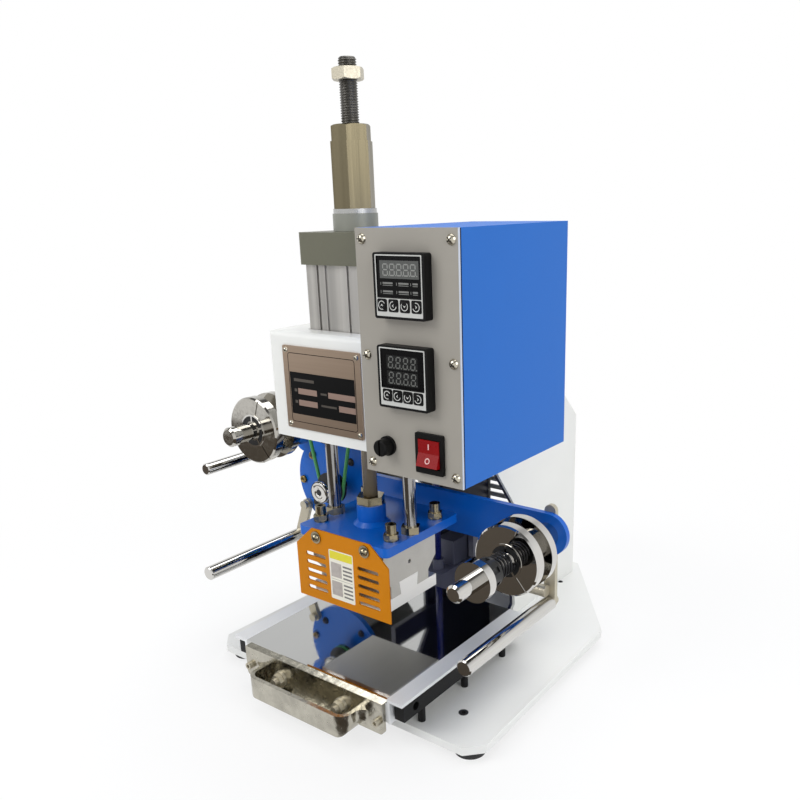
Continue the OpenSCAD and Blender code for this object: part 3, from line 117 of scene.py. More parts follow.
sky = bpy.data.worlds.new("soft sky")
scene.world = sky
sky.use_nodes = True
sky_nodes, sky_links = sky.node_tree.nodes, sky.node_tree.links
sky_nodes.clear()
sky_out = sky_nodes.new("ShaderNodeOutputWorld")
sky_mix = sky_nodes.new("ShaderNodeMixShader")
sky_plain = sky_nodes.new("ShaderNodeBackground")
sky_plain.inputs["Color"].default_value = (0.93, 0.96, 1.0, 1)
sky_plain.inputs["Strength"].default_value = 0.5
sky_white = sky_nodes.new("ShaderNodeBackground")
sky_coord = sky_nodes.new("ShaderNodeTexCoord")
sky_split = sky_nodes.new("ShaderNodeSeparateXYZ")
sky_ramp = sky_nodes.new("ShaderNodeValToRGB")
sky_half = sky_nodes.new("ShaderNodeMath")
sky_half.operation = "MULTIPLY_ADD"
sky_half.inputs[1].default_value = sky_half.inputs[2].default_value = 0.5
steps = sky_ramp.color_ramp.elements
steps[0].position, steps[0].color = 0.62, (1, 1, 1, 1)
steps[1].position, steps[1].color = 0.7, (0.9, 0.91, 0.92, 1)
for place, grey in ((0.79, 0.75), (0.83, 0.14), (0.91, 0.14), (0.95, 0.8)):
    steps.new(place).color = (grey, grey, grey, 1)
sky_links.new(sky_coord.outputs["Generated"], sky_split.inputs[0])
sky_links.new(sky_split.outputs["Z"], sky_half.inputs[0])
sky_links.new(sky_half.outputs[0], sky_ramp.inputs[0])
sky_links.new(sky_ramp.outputs[0], sky_white.inputs["Color"])
sky_links.new(seen_share(sky_nodes, sky_links), sky_mix.inputs[0])
sky_links.new(sky_plain.outputs[0], sky_mix.inputs[1])
sky_links.new(sky_white.outputs[0], sky_mix.inputs[2])
sky_links.new(sky_mix.outputs[0], sky_out.inputs[0])


def sheet(name, corners, height):
    """A level sheet of the studio between four corners in metres."""
    mesh = bpy.data.meshes.new(name)
    mesh.from_pydata([(x, y, height) for x, y in corners], [], [(0, 1, 2, 3)])
    piece = bpy.data.objects.new(name, mesh)
    scene.collection.objects.link(piece)
    piece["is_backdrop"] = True
    return piece


floor = sheet("floor", ((-6, -6), (6, -6), (6, 6), (-6, 6)), 0)
floor_paint = bpy.data.materials.new("studio floor")
floor_paint.use_nodes = True
floor_nodes, floor_links = floor_paint.node_tree.nodes, floor_paint.node_tree.links
floor_nodes.clear()
floor_out = floor_nodes.new("ShaderNodeOutputMaterial")
floor_mix = floor_nodes.new("ShaderNodeMixShader")
floor_card = floor_nodes.new("ShaderNodeBsdfDiffuse")
floor_card.inputs["Color"].default_value = (0.8, 0.8, 0.8, 1)
floor_glow = floor_nodes.new("ShaderNodeEmission")
floor_coord = floor_nodes.new("ShaderNodeTexCoord")
floor_far = floor_nodes.new("ShaderNodeVectorMath")
floor_far.operation = "LENGTH"
floor_rise = floor_nodes.new("ShaderNodeMapRange")
for socket, value in (("From Min", 0.3), ("From Max", 0.75), ("To Min", 0.74), ("To Max", 1.0)):
    floor_rise.inputs[socket].default_value = value
floor_share = floor_nodes.new("ShaderNodeMath")
floor_share.operation = "MULTIPLY"
floor_links.new(floor_coord.outputs["Object"], floor_far.inputs[0])
floor_links.new(floor_far.outputs["Value"], floor_rise.inputs["Value"])
floor_links.new(floor_rise.outputs[0], floor_share.inputs[1])
floor_links.new(seen_share(floor_nodes, floor_links), floor_share.inputs[0])
floor_links.new(floor_share.outputs[0], floor_mix.inputs[0])
floor_links.new(floor_card.outputs[0], floor_mix.inputs[1])
floor_links.new(floor_glow.outputs[0], floor_mix.inputs[2])
floor_links.new(floor_mix.outputs[0], floor_out.inputs[0])
floor.data.materials.append(floor_paint)

wide_corners = ((-1.4, -2.2), (0.5, -2.2), (0.27, -0.10), (-1.2, -1.11))
small_corners = ((-1.3, -0.8), (-0.45, -0.76), (-0.45, -0.42), (-1.3, -0.46))
cloth_paint = bpy.data.materials.new("dark cloth")
cloth_paint.use_nodes = True
cloth_shader = cloth_paint.node_tree.nodes["Principled BSDF"]
cloth_shader.inputs["Base Color"].default_value = (0.05, 0.036, 0.022, 1)
cloth_shader.inputs["Roughness"].default_value = 0.9
for piece in (sheet("dark cloth", wide_corners, 0.002), sheet("brown cloth", small_corners, 0.003)):
    piece.data.materials.append(cloth_paint)
    piece.visible_camera = piece.visible_diffuse = piece.visible_shadow = False

# BASE PLATE AND FEET
# A thick steel plate with a fine white powder coat that is a little uneven,
# standing on four moulded rubber feet. Black bushes line its bench holes.


def tint(red, green, blue):
    """A colour given in the 0 to 255 of a screen, as the linear light it stands for."""
    c = np.array([red, green, blue]) / 255
    return (*np.where(c <= 0.04045, c / 12.92, ((c + 0.055) / 1.055) ** 2.4), 1)


def worked_surface():
    """The group that every finish shares: a slow drift of the tone in patches and a
    fine grain, which moves the roughness and gives the height of a bump."""
    group = bpy.data.node_groups.new("worked surface", "ShaderNodeTree")
    for name, kind in (("Vector", "Vector"), ("Colour", "Color"), ("Patch", "Float"),
                       ("Tone", "Float"), ("Grain", "Float"), ("Roughness", "Float"),
                       ("Rub", "Float")):
        group.interface.new_socket(name=name, in_out="INPUT", socket_type="NodeSocket" + kind)
    for name, kind in (("Colour", "Color"), ("Roughness", "Float"), ("Height", "Float")):
        group.interface.new_socket(name=name, in_out="OUTPUT", socket_type="NodeSocket" + kind)
    nodes, links = group.nodes, group.links
    given, made = nodes.new("NodeGroupInput"), nodes.new("NodeGroupOutput")
    patch, grain = nodes.new("ShaderNodeTexNoise"), nodes.new("ShaderNodeTexNoise")
    patch.inputs["Detail"].default_value = 4
    grain.inputs["Detail"].default_value = 3
    for noise, scale in ((patch, "Patch"), (grain, "Grain")):
        links.new(given.outputs["Vector"], noise.inputs["Vector"])
        links.new(given.outputs[scale], noise.inputs["Scale"])
    drift, swing = nodes.new("ShaderNodeMapRange"), nodes.new("ShaderNodeMapRange")
    for ranged, source in ((drift, patch), (swing, grain)):
        ranged.inputs["From Min"].default_value = 0.3
        ranged.inputs["From Max"].default_value = 0.7
        ranged.inputs["To Min"].default_value = -1
        ranged.inputs["To Max"].default_value = 1
        links.new(source.outputs["Fac"], ranged.inputs["Value"])
    lift, rough = nodes.new("ShaderNodeMath"), nodes.new("ShaderNodeMath")
    lift.operation = rough.operation = "MULTIPLY_ADD"
    lift.inputs[2].default_value = 1
    links.new(drift.outputs[0], lift.inputs[0])
    links.new(given.outputs["Tone"], lift.inputs[1])
    links.new(swing.outputs[0], rough.inputs[0])
    links.new(given.outputs["Rub"], rough.inputs[1])
    links.new(given.outputs["Roughness"], rough.inputs[2])
    toned = nodes.new("ShaderNodeVectorMath")
    toned.operation = "SCALE"
    links.new(given.outputs["Colour"], toned.inputs[0])
    links.new(lift.outputs[0], toned.inputs["Scale"])
    links.new(toned.outputs[0], made.inputs["Colour"])
    links.new(rough.outputs[0], made.inputs["Roughness"])
    links.new(grain.outputs["Fac"], made.inputs["Height"])
    return group


worked = worked_surface()


def finish(name, colour, metal=0.0, rough=0.5, tone=0.05, rub=0.06, patch=18.0, grain=900.0,
           stretch=(1, 1, 1), bump=0.0, coat=0.0, shine=0.5):
    """A material: the shared surface group in front of one shader. stretch draws the
    grain out along an axis, and bump is the depth of the grain in millimetres."""
    material = bpy.data.materials.new(name)
    material.use_nodes = True
    nodes, links = material.node_tree.nodes, material.node_tree.links
    shader = nodes["Principled BSDF"]
    shader.inputs["Metallic"].default_value = metal
    shader.inputs["Coat Weight"].default_value = coat
    shader.inputs["Specular IOR Level"].default_value = shine
    shader.inputs["Coat Roughness"].default_value = 0.08
    place, turn = nodes.new("ShaderNodeTexCoord"), nodes.new("ShaderNodeMapping")
    turn.inputs["Scale"].default_value = stretch
    surface = nodes.new("ShaderNodeGroup")
    surface.node_tree = worked
    links.new(place.outputs["Object"], turn.inputs[0])
    links.new(turn.outputs[0], surface.inputs["Vector"])
    for socket, value in (("Colour", colour), ("Patch", patch), ("Tone", tone), ("Grain", grain),
                          ("Roughness", rough), ("Rub", rub)):
        surface.inputs[socket].default_value = value
    links.new(surface.outputs["Colour"], shader.inputs["Base Color"])
    links.new(surface.outputs["Roughness"], shader.inputs["Roughness"])
    if bump:
        relief = nodes.new("ShaderNodeBump")
        relief.inputs["Distance"].default_value = bump / 1000
        links.new(surface.outputs["Height"], relief.inputs["Height"])
        links.new(relief.outputs[0], shader.inputs["Normal"])
    return material


def dress(material, *names):
    """Gives CAD nodes their material."""
    for name in names:
        for socket in shown[name].material_slots:
            socket.material = material


white_coat = finish("white powder coat", tint(229, 229, 226), rough=0.42, tone=0.012, rub=0.05,
                    grain=1400, bump=0.05)
dress(white_coat, "base_plate")
dress(finish("foot rubber", tint(28, 28, 29), rough=0.75, tone=0.2, rub=0.08, grain=500, bump=0.1),
      "rubber_feet")


def mesh_piece(name, points, faces, material, body):
    """A new piece from points and faces, riding on a CAD body."""
    mesh = bpy.data.meshes.new(name)
    mesh.from_pydata(np.asarray(points).tolist(), [], faces)
    mesh.materials.append(material)
    piece = bpy.data.objects.new(name, mesh)
    scene.collection.objects.link(piece)
    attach(piece, body)
    return piece


def grid_piece(name, grid, material, body, ring=False, caps=False, smooth=True):
    """A surface on a grid of points, rows by columns. ring joins the last column to
    the first, and caps close the first and the last row with one flat face each."""
    rows, columns = grid.shape[:2]
    number = np.arange(rows * columns).reshape(rows, columns)
    if ring:
        number = np.concatenate([number, number[:, :1]], 1)
    quads = np.stack([number[:-1, :-1], number[:-1, 1:], number[1:, 1:], number[1:, :-1]], -1)
    faces = quads.reshape(-1, 4).tolist()
    if caps:
        faces += [number[0, :columns][::-1].tolist(), number[-1, :columns].tolist()]
    piece = mesh_piece(name, grid.reshape(-1, 3), faces, material, body)
    if smooth:
        piece.data.shade_smooth()
        if caps:
            rounded = np.ones(len(faces), bool)
            rounded[-2:] = False
            piece.data.polygons.foreach_set("use_smooth", rounded)
    return piece


# The ram's axis on the bench. Places in millimetres are counted from it.
press = np.array([*((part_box("piston_rod")[0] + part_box("piston_rod")[1]) / 2)[:2], 0.0])


def band(name, centre, inner, outer, low, high, material, body):
    """A flat ring about an upright axis, in millimetres from centre: a rectangle of
    radius and height carried round on a circle and closed on itself."""
    profile = np.array([[outer, low], [outer, high], [inner, high], [inner, low], [outer, low]])
    turns = np.linspace(0, 2 * np.pi, 72, endpoint=False)
    grid = np.stack([profile[:, :1] * np.cos(turns), profile[:, :1] * np.sin(turns),
                     np.repeat(profile[:, 1:], len(turns), 1)], -1)
    return grid_piece(name, (grid + np.array(centre)) / 1000 + press, material, body, ring=True,
                      smooth=False)


bush_black = finish("bench bush", tint(34, 34, 36), rough=0.5, tone=0.1)
base_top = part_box("base_plate")[1].z * 1000
bush_places = ((-124.8, -28.0), (124.8, -28.0), (-66.9, 256.3), (66.9, 256.3))
bush_bore, bush_r, bush_depth, flange_r, flange_t = 2.3, 3.25, 7.8, 4.5, 0.5
for number, (x, y) in enumerate(bush_places):
    band(f"bench_bush_{number}", (x, y, 0), bush_bore, bush_r, base_top - bush_depth,
         base_top - 0.05, bush_black, "frame")
    in_front = y < 0
    if in_front:
        band(f"bush_flange_{number}", (x, y, 0), bush_bore, flange_r, base_top + 0.02,
             base_top + flange_t, bush_black, "frame")

# HOUSING
# White coated sheet over two dark slate cheeks, which show from below and through the throat, with
# the thick bridge plate between them. Their dark slate is partly painted shade, standing for the
# shaded inside of the throat.
dress(finish("housing white", tint(226, 226, 222), rough=0.34, tone=0.012, rub=0.04, grain=1600,
             bump=0.03, coat=0.25), "side_panels", "rear_cover", "front_cover")
# Slate paint that also carries painted shade: it darkens the cheeks, the bridge and the arm
# brackets like the shaded inside of the throat.
slate_paint_and_shade = finish("slate paint and painted shade", tint(30, 33, 58), rough=0.4, tone=0.12, grain=700, bump=0.05)
dress(slate_paint_and_shade, "frame_plates", "bridge_plate")

# NAME PLATE
# A thin plate of brushed bronze-toned steel. Its printing is bare: an etched
# border line, a black block, and blank bars and empty fields in it.


def on_circle(angle, radius=1.0):
    """Points at those angles on a circle about the origin: radius times cos and sin."""
    return radius * np.stack([np.cos(angle), np.sin(angle)], -1)


def spun(outline, angle):
    """A flat outline turned by an angle a: x cos a - y sin a, and x sin a + y cos a."""
    c, s = np.cos(angle), np.sin(angle)
    return outline @ np.array([[c, s], [-s, c]])


def box_outline(low, high, corner=0.0, steps=5):
    """The outline of a rectangle from its low to its high corner, counter-clockwise:
    four quarter arcs of that radius, each about its own corner's centre."""
    low, high = np.array(low, float), np.array(high, float)
    quarter = np.arange(4)[:, None] * np.pi / 2 + np.linspace(0, np.pi / 2, steps)[None]
    sign = np.array([[1, 1], [-1, 1], [-1, -1], [1, -1]])
    centre = (low + high) / 2 + sign * ((high - low) / 2 - corner)
    return (centre[:, None] + on_circle(quarter, corner)).reshape(-1, 2)


def printed(name, outlines, front, depth, material, body, origin, holes=()):
    """Thin flat shapes in x and z that face the operator, as closed slabs: each outline
    at the front and at the back, with strips of quads between two rings of points. A
    hole has its outline's count."""
    points, faces = [], []
    for number, outline in enumerate(outlines):
        count, start = len(outline), sum(map(len, points))
        rings = [outline] if number >= len(holes) else [outline, holes[number]]
        for ring in rings:
            for y in (front, front + depth):
                points.append(np.column_stack([ring[:, 0], np.full(count, y), ring[:, 1]]))
        turn = np.arange(count)
        after = (turn + 1) % count
        if len(rings) == 1:
            faces += [(start + turn).tolist(), (start + count + turn)[::-1].tolist()]
            strips = [(1, 0)]
        else:
            strips = [(0, 2), (3, 1), (1, 0), (2, 3)]
        for a, b in strips:
            quads = np.stack([a * count + turn, a * count + after, b * count + after,
                              b * count + turn], -1)
            faces += (start + quads).tolist()
    places = np.concatenate(points) / 1000 + np.array(origin)
    return mesh_piece(name, places, faces, material, body)


plate_low, plate_high = (np.array(c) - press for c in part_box("name_plate"))
plate_w, plate_h = (plate_high - plate_low)[[0, 2]] * 1000
plate_face = plate_low[1] * 1000
plate_at = press + np.array([plate_low[0], 0, plate_low[2]])
print_t = 0.06
bronze_sheet = finish("brushed bronze sheet", tint(176, 156, 138), metal=1, rough=0.34, tone=0.03,
                      rub=0.02, patch=700, grain=2400, stretch=(0.01, 1, 1), bump=0.004)
dress(bronze_sheet, "name_plate")
black_print = finish("black enamel print", tint(8, 8, 9), rough=0.4, tone=0.1, shine=0.12)
line_in, line_w, line_corner, block_in = 6.0, 0.6, 3.0, 1.2
border = box_outline((line_in, line_in), (plate_w - line_in, plate_h - line_in), line_corner)
inner = box_outline((line_in + line_w,) * 2,
                    (plate_w - line_in - line_w, plate_h - line_in - line_w), line_corner - line_w)
printed("plate_border", [border], plate_face - print_t, print_t, black_print, "frame", plate_at,
        holes=[inner])
block = box_outline((line_in + block_in, 0.18 * plate_h),
                    (plate_w - line_in - block_in, 0.69 * plate_h))
printed("plate_block", [block], plate_face - print_t, print_t, black_print, "frame", plate_at)


def plate_boxes(shares):
    """Rectangles on the plate, each from four shares of its width and height."""
    return [box_outline((a * plate_w, b * plate_h), (c * plate_w, d * plate_h))
            for a, b, c, d in shares]


fields = plate_boxes(((0.18, 0.43, 0.43, 0.50), (0.58, 0.43, 0.92, 0.50),
                      (0.18, 0.29, 0.43, 0.36), (0.71, 0.29, 0.92, 0.36)))
pale_field = finish("bare bronze field", tint(176, 150, 138), metal=0.8, rough=0.42, tone=0.1,
                    grain=1500, stretch=(0.03, 1, 1))
printed("plate_fields", fields, plate_face - 2 * print_t, print_t, pale_field, "frame", plate_at)
bars = plate_boxes(((0.13, 0.58, 0.4, 0.615), (0.13, 0.455, 0.165, 0.49),
                    (0.48, 0.455, 0.56, 0.48), (0.13, 0.315, 0.165, 0.35),
                    (0.48, 0.315, 0.68, 0.34)))
printed("plate_bars", bars, plate_face - 2 * print_t, print_t,
        finish("worn bronze bars", tint(84, 78, 72), rough=0.5, tone=0.3, grain=900, shine=0.2),
        "frame", plate_at)

# SCREWS WITH CROSSED HEADS
# Nickel dome screws of the bare plate, the control panel and the guard. No crossed recess is cut
# into a head: a dark cross of painted shade stands on the dome in its place.
nickel = finish("nickel screw", tint(190, 184, 168), metal=1, rough=0.22, tone=0.08, rub=0.08)
dress(nickel, "dome_screws")
# Painted shade: the dark tone of the screw recesses, laid on the domes as proud crosses.
painted_recess_shade = finish("painted recess shade", tint(40, 38, 34), metal=0.6, rough=0.6)


def screw_crosses(name, centres, size, body):
    """A cross of painted recess shade on each dome: two thin bars, turned by a different angle on
    each, that stand a fiftieth of a millimetre proud of it."""
    bar = np.array([[-1, -0.17], [1, -0.17], [1, 0.17], [-1, 0.17]]) * size / 2
    for number, (x, y, z) in enumerate(centres):
        for arm in (0, 1):
            blade = spun(bar, 0.5 + 1.3 * number + arm * np.pi / 2) + (x, z)
            printed(f"{name}_{2 * number + arm}", [blade], y - 0.02, 0.3, painted_recess_shade, body, press)


panel_low, panel_high = ((np.array(c) - press) * 1000 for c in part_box("front_panel"))
plate_in, plate_dome, panel_in, panel_down, panel_dome = 4.0, 1.8, 6.5, 8.0, 3.0
small_cross, large_cross = 2.6, 4.4
plate_x0, plate_z0 = plate_low[0] * 1000, plate_low[2] * 1000
crossed = [(x, plate_face - plate_dome, z)
           for x in (plate_x0 + plate_in, plate_x0 + plate_w - plate_in)
           for z in (plate_z0 + plate_in, plate_z0 + plate_h - plate_in)]
screw_crosses("plate_cross", crossed, small_cross, "frame")
panel_mid = (panel_low[2] + panel_high[2]) / 2
crossed = [(x, panel_low[1] - panel_dome, z)
           for x in (panel_low[0] + panel_in, panel_high[0] - panel_in)
           for z in (panel_low[2] + panel_down, panel_mid, panel_high[2] - panel_down)]
screw_crosses("panel_cross", crossed, large_cross, "frame")

# CYLINDER
# Grey-olive end caps, a bare drawn aluminium tube with sensor slots, whose strong lengthwise light
# and dark bands are partly painted shading of its ribs, and the champagne-plated stop sleeve with
# its bright flange.
dress(finish("cap enamel", tint(94, 93, 76), rough=0.45, tone=0.04, grain=900, bump=0.08, coat=0.1),
      "end_caps")
# Drawn streaks and painted light and shade: the strong lengthwise tone bands also stand for the
# light and shade on the tube's ribs and grooves.
dress(finish("drawn aluminium", tint(176, 173, 168), metal=0.6, rough=0.4, tone=0.24, rub=0.08,
             patch=95, grain=1500, stretch=(1, 1, 0.003), bump=0.02), "cylinder_tube")
dress(finish("champagne plating", tint(114, 106, 85), metal=1, rough=0.36, tone=0.12, rub=0.06,
             patch=140, grain=1200, stretch=(1, 1, 0.01), bump=0.01), "stop_sleeve")
dress(finish("machined aluminium", tint(200, 200, 200), metal=1, rough=0.3), "piston")
boss_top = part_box("end_caps")[1].z * 1000
boss_radii, boss_h, ring_radii, ring_h = (18.9, 19.5), 14.3, (18.2, 18.65), 3.9
boss_bare = finish("bare cast boss", tint(140, 141, 132), metal=0.35, rough=0.42, tone=0.06,
                   grain=900)
band("cap_boss", (0, 0, 0), *boss_radii, boss_top - boss_h, boss_top + 0.05, boss_bare, "frame")
band("flange_ring", (0, 0, 0), *ring_radii, boss_top + 0.1, boss_top + ring_h,
     finish("bright flange", tint(176, 176, 174), metal=0.8, rough=0.3, tone=0.05), "frame")

# RAM ROD AND STROKE NUT
# One ground rod through both caps. Its upper end carries a rolled thread of
# dark oiled steel, and the nut on it sets the stroke.
rod_low, rod_high = (np.array(c) * 1000 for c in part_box("piston_rod"))
thread_pitch, thread_depth, thread_r, plain_r = 2.0, 1.0, 7.7, 7.0
thread_tip, thread_under_sleeve, crest_share = 1.5, 60, 0.125
thread_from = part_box("stop_sleeve")[1].z * 1000 - thread_under_sleeve
step_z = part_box("piston")[1].z * 1000
turn = np.linspace(0, 2 * np.pi, 72, endpoint=False)
rise = np.concatenate([[rod_low[2], step_z - 0.01, step_z, thread_from - 0.01],
                       np.arange(thread_from, rod_high[2], thread_pitch / 8), [rod_high[2]]])
wave = (rise[:, None] / thread_pitch - turn[None] / (2 * np.pi)) % 1
flank = 2 * np.abs(wave - 0.5) * (1 + 2 * crest_share) - crest_share
groove = thread_depth * np.clip(flank, 0, 1)
radius = np.where(rise[:, None] < thread_from, thread_r, thread_r - groove)
radius = np.where(rise[:, None] < step_z, plain_r, radius)
radius = np.minimum(radius, thread_r - thread_tip + (rod_high[2] - rise[:, None]))
rod_grid = np.stack([radius * np.cos(turn), radius * np.sin(turn),
                     np.broadcast_to(rise[:, None], radius.shape)], -1) / 1000 + press
oiled_steel = finish("oiled dark steel", tint(104, 102, 98), metal=1, rough=0.34, tone=0.15,
                     rub=0.12, grain=700)
rod = grid_piece("threaded_rod", rod_grid, oiled_steel, "ram", ring=True, caps=True)
ground_rod = finish("ground rod steel", tint(168, 154, 130), metal=0.5, rough=0.24, tone=0.12,
                    rub=0.04, patch=160, grain=900, stretch=(1, 1, 0.02))
rod.data.materials.append(ground_rod)
turned_from = int(np.searchsorted(rise, thread_from)) * len(turn)
coat_of = np.where(np.arange(len(rod.data.polygons)) < turned_from, 1, 0)
rod.data.polygons.foreach_set("material_index", coat_of.astype(np.int32))
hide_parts("piston_rod")
bright_steel = finish("bright plated steel", tint(188, 181, 163), metal=0.7, rough=0.42, tone=0.06,
                      rub=0.08, grain=500)
dress(bright_steel, "stroke_nut")

# RAM HEAD
# A thick casting in glossy blue enamel on two ground guide rods, held by cap
# screws and nuts, over a cast aluminium heater block and its hot plate.
blue_enamel = finish("blue enamel", tint(0, 92, 188), rough=0.32, tone=0.015, rub=0.04, grain=1300,
                     bump=0.03, coat=0.12, shine=0.32)
dress(blue_enamel, "head_plate")
chrome_rod = finish("ground chrome", tint(160, 159, 158), metal=1, rough=0.12, tone=0.04, rub=0.03,
                    grain=800, stretch=(1, 1, 0.1))
dress(chrome_rod, "guide_rods")
dress(finish("zinc plated steel", tint(152, 143, 120), metal=1, rough=0.2, tone=0.04, rub=0.03,
             grain=1800), "head_fasteners")
dress(finish("turned bronze", tint(172, 138, 84), metal=1, rough=0.3), "guide_bushes")
dress(finish("pressed board", tint(156, 132, 96), rough=0.8, tone=0.12, grain=700, bump=0.1),
      "insulation_board")
dress(finish("cast aluminium", tint(196, 193, 186), metal=0.7, rough=0.48, tone=0.05, rub=0.08,
             patch=45, grain=900, bump=0.05), "heater_block")
dress(finish("milled hot plate", tint(234, 232, 228), metal=0.7, rough=0.34, tone=0.03, rub=0.04,
             patch=60, grain=1800, stretch=(1, 0.04, 1), bump=0.01), "hot_plate")
dress(finish("heater sheath", tint(120, 116, 110), metal=1, rough=0.45), "heater_cartridges")

# GUARD
# Thin sheet in ochre-orange enamel with two columns of slots and two dome
# screws. Its sticker is bare: a yellow head band, plain boxes and grey rows.
dress(finish("ochre enamel", tint(194, 119, 0), rough=0.45, tone=0.02, rub=0.05, grain=1500,
             bump=0.03, shine=0.12), "guard")
guard_low, guard_high = ((np.array(c) - press) * 1000 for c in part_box("guard"))
sheet_front, sticker_w, sticker_top, sticker_low = guard_low[1], 30.5, 16.0, 66.5
blank_paper = finish("blank sticker", tint(226, 222, 208), rough=0.5, tone=0.03)
yellow_band = finish("yellow band", tint(216, 204, 36), rough=0.45, tone=0.03)
sticker = box_outline((-sticker_w / 2, guard_high[2] - sticker_low),
                      (sticker_w / 2, guard_high[2] - sticker_top), 1.5)
printed("blank_sticker", [sticker], sheet_front - 0.12, 0.12, blank_paper, "ram", press)
head_band = box_outline((-sticker_w / 2 + 1, guard_high[2] - sticker_top - 9),
                        (sticker_w / 2 - 1, guard_high[2] - sticker_top - 1), 0.8)
printed("sticker_band", [head_band], sheet_front - 0.2, 0.08, yellow_band, "ram", press)
row_top, half_h, row_pitch, mid_line = guard_high[2] - sticker_top - 11, 19.0, 4, 0.3
row_left, row_right, box_left = 1.8, 13.2, -13.4
rows, boxes = [], []
for top in (row_top, row_top - half_h):
    rows += [box_outline((row_left, top - 4.4 - row_pitch * k),
                         (row_right, top - 2.6 - row_pitch * k)) for k in range(4)]
    boxes.append(box_outline((box_left, top - 16.4), (0, top - 1.6), 0.5))
rule = box_outline((-13.6, row_top - half_h + 0.2), (13.4, row_top - half_h + 0.2 + mid_line))
printed("sticker_rows", rows + [rule], sheet_front - 0.16, 0.04,
        finish("blank grey rows", tint(112, 110, 108), rough=0.5, tone=0.1), "ram", press)
printed("sticker_boxes", boxes, sheet_front - 0.16, 0.04,
        finish("blank pale boxes", tint(170, 162, 156), rough=0.5, tone=0.15, patch=160),
        "ram", press)
guard_screw_x, guard_screw_down, guard_dome = 30.5, 8.0, 4.6
crossed = [(side * guard_screw_x, sheet_front - guard_dome, guard_high[2] - guard_screw_down)
           for side in (-1, 1)]
screw_crosses("guard_cross", crossed, large_cross, "ram")

# WORK TABLE
# A plate polished to a dark mirror on a drawn aluminium carriage, running
# over two black bars. The handle in front is a nickel-plated casting.
dress(finish("dark mirror steel", tint(196, 196, 194), metal=1, rough=0.05, tone=0.02, rub=0.03,
             patch=12, grain=600, stretch=(1, 0.05, 1)), "table_plate")
dress(finish("rail aluminium", tint(228, 229, 230), metal=0.35, rough=0.42, tone=0.03, rub=0.06,
             grain=1500, stretch=(1, 0.03, 1), bump=0.01), "table_carriage")
dress(finish("nickel casting", tint(178, 174, 162), metal=1, rough=0.2, tone=0.14, rub=0.1,
             patch=90, grain=150, bump=0.35), "table_handle")
dress(bright_steel, "handle_screws")
dress(finish("black oxide", tint(12, 12, 13), rough=0.5, tone=0.15, grain=900, bump=0.02,
             shine=0.25), "guide_bars")

# FOIL ARMS
# The blue plate across the machine and its flat brackets, with three chromed
# rods on plain steel links.
dress(blue_enamel, "support_plate")
# The brackets take the same dark slate, which is partly painted shade.
dress(slate_paint_and_shade, "arm_brackets")
mirror_chrome = finish("mirror chrome", tint(206, 204, 200), metal=1, rough=0.05, tone=0.03,
                       rub=0.02, grain=900)
dress(mirror_chrome, "foil_rods")
dress(bright_steel, "rod_links")

# SPOOLS, KNOB AND TAKE-UP DRIVE
# Chromed discs on turned spindles. A black knob presses a black coil spring
# on the supply side, and a green cord belt drives the take-up side.
dull_chrome = finish("handled chrome", tint(184, 181, 174), metal=1, rough=0.09, tone=0.08,
                     rub=0.05, grain=300)
dress(mirror_chrome, "supply_discs", "supply_spindle")
dress(dull_chrome, "takeup_discs", "takeup_spindle")
dress(finish("black phenolic", tint(12, 12, 13), rough=0.35, tone=0.1, grain=900), "tension_knob")
dress(finish("bearing steel", tint(150, 146, 136), metal=1, rough=0.35), "takeup_bearing")
dress(finish("motor black", tint(20, 20, 22), rough=0.5, tone=0.08, grain=700, bump=0.06),
      "drive_motor", "motor_pulley")


def tube(name, path, r, material, body, side=(0.0, 1.0, 0.0), closed=False):
    """A round tube along a path: at each point a circle square to the path, set out
    from the cross product of its direction with a fixed side vector and back."""
    ahead = np.roll(path, -1, 0) - np.roll(path, 1, 0)
    if not closed:
        ahead[0], ahead[-1] = path[1] - path[0], path[-1] - path[-2]
    ahead /= np.linalg.norm(ahead, axis=1)[:, None]
    one = np.cross(ahead, side)
    one /= np.linalg.norm(one, axis=1)[:, None]
    two = np.cross(ahead, one)
    a = np.linspace(0, 2 * np.pi, 16, endpoint=False)[None, :, None]
    grid = path[:, None] + r * (np.cos(a) * one[:, None] + np.sin(a) * two[:, None])
    if closed:
        grid = np.concatenate([grid, grid[:1]])
    return grid_piece(name, grid, material, body, ring=True, caps=not closed)


spring_low, spring_high = (np.array(c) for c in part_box("tension_spring"))
spring_wire, spring_turns = 0.0024, 5
spring_mid = (spring_low + spring_high) / 2
spring_r = (spring_high[0] - spring_low[0] - spring_wire) / 2
wind = np.linspace(0, 1, 41 * spring_turns)
angle = 2 * np.pi * spring_turns * wind
spring_path = np.stack([
    spring_mid[0] + spring_r * np.cos(angle),
    spring_low[1] + spring_wire / 2 + wind * (spring_high[1] - spring_low[1] - spring_wire),
    spring_mid[2] + spring_r * np.sin(angle)], -1)
spring_steel = finish("black spring steel", tint(44, 44, 46), metal=0.9, rough=0.3, tone=0.1)
spring = tube("coil_spring", spring_path, spring_wire / 2, spring_steel, "frame")
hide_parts("tension_spring")

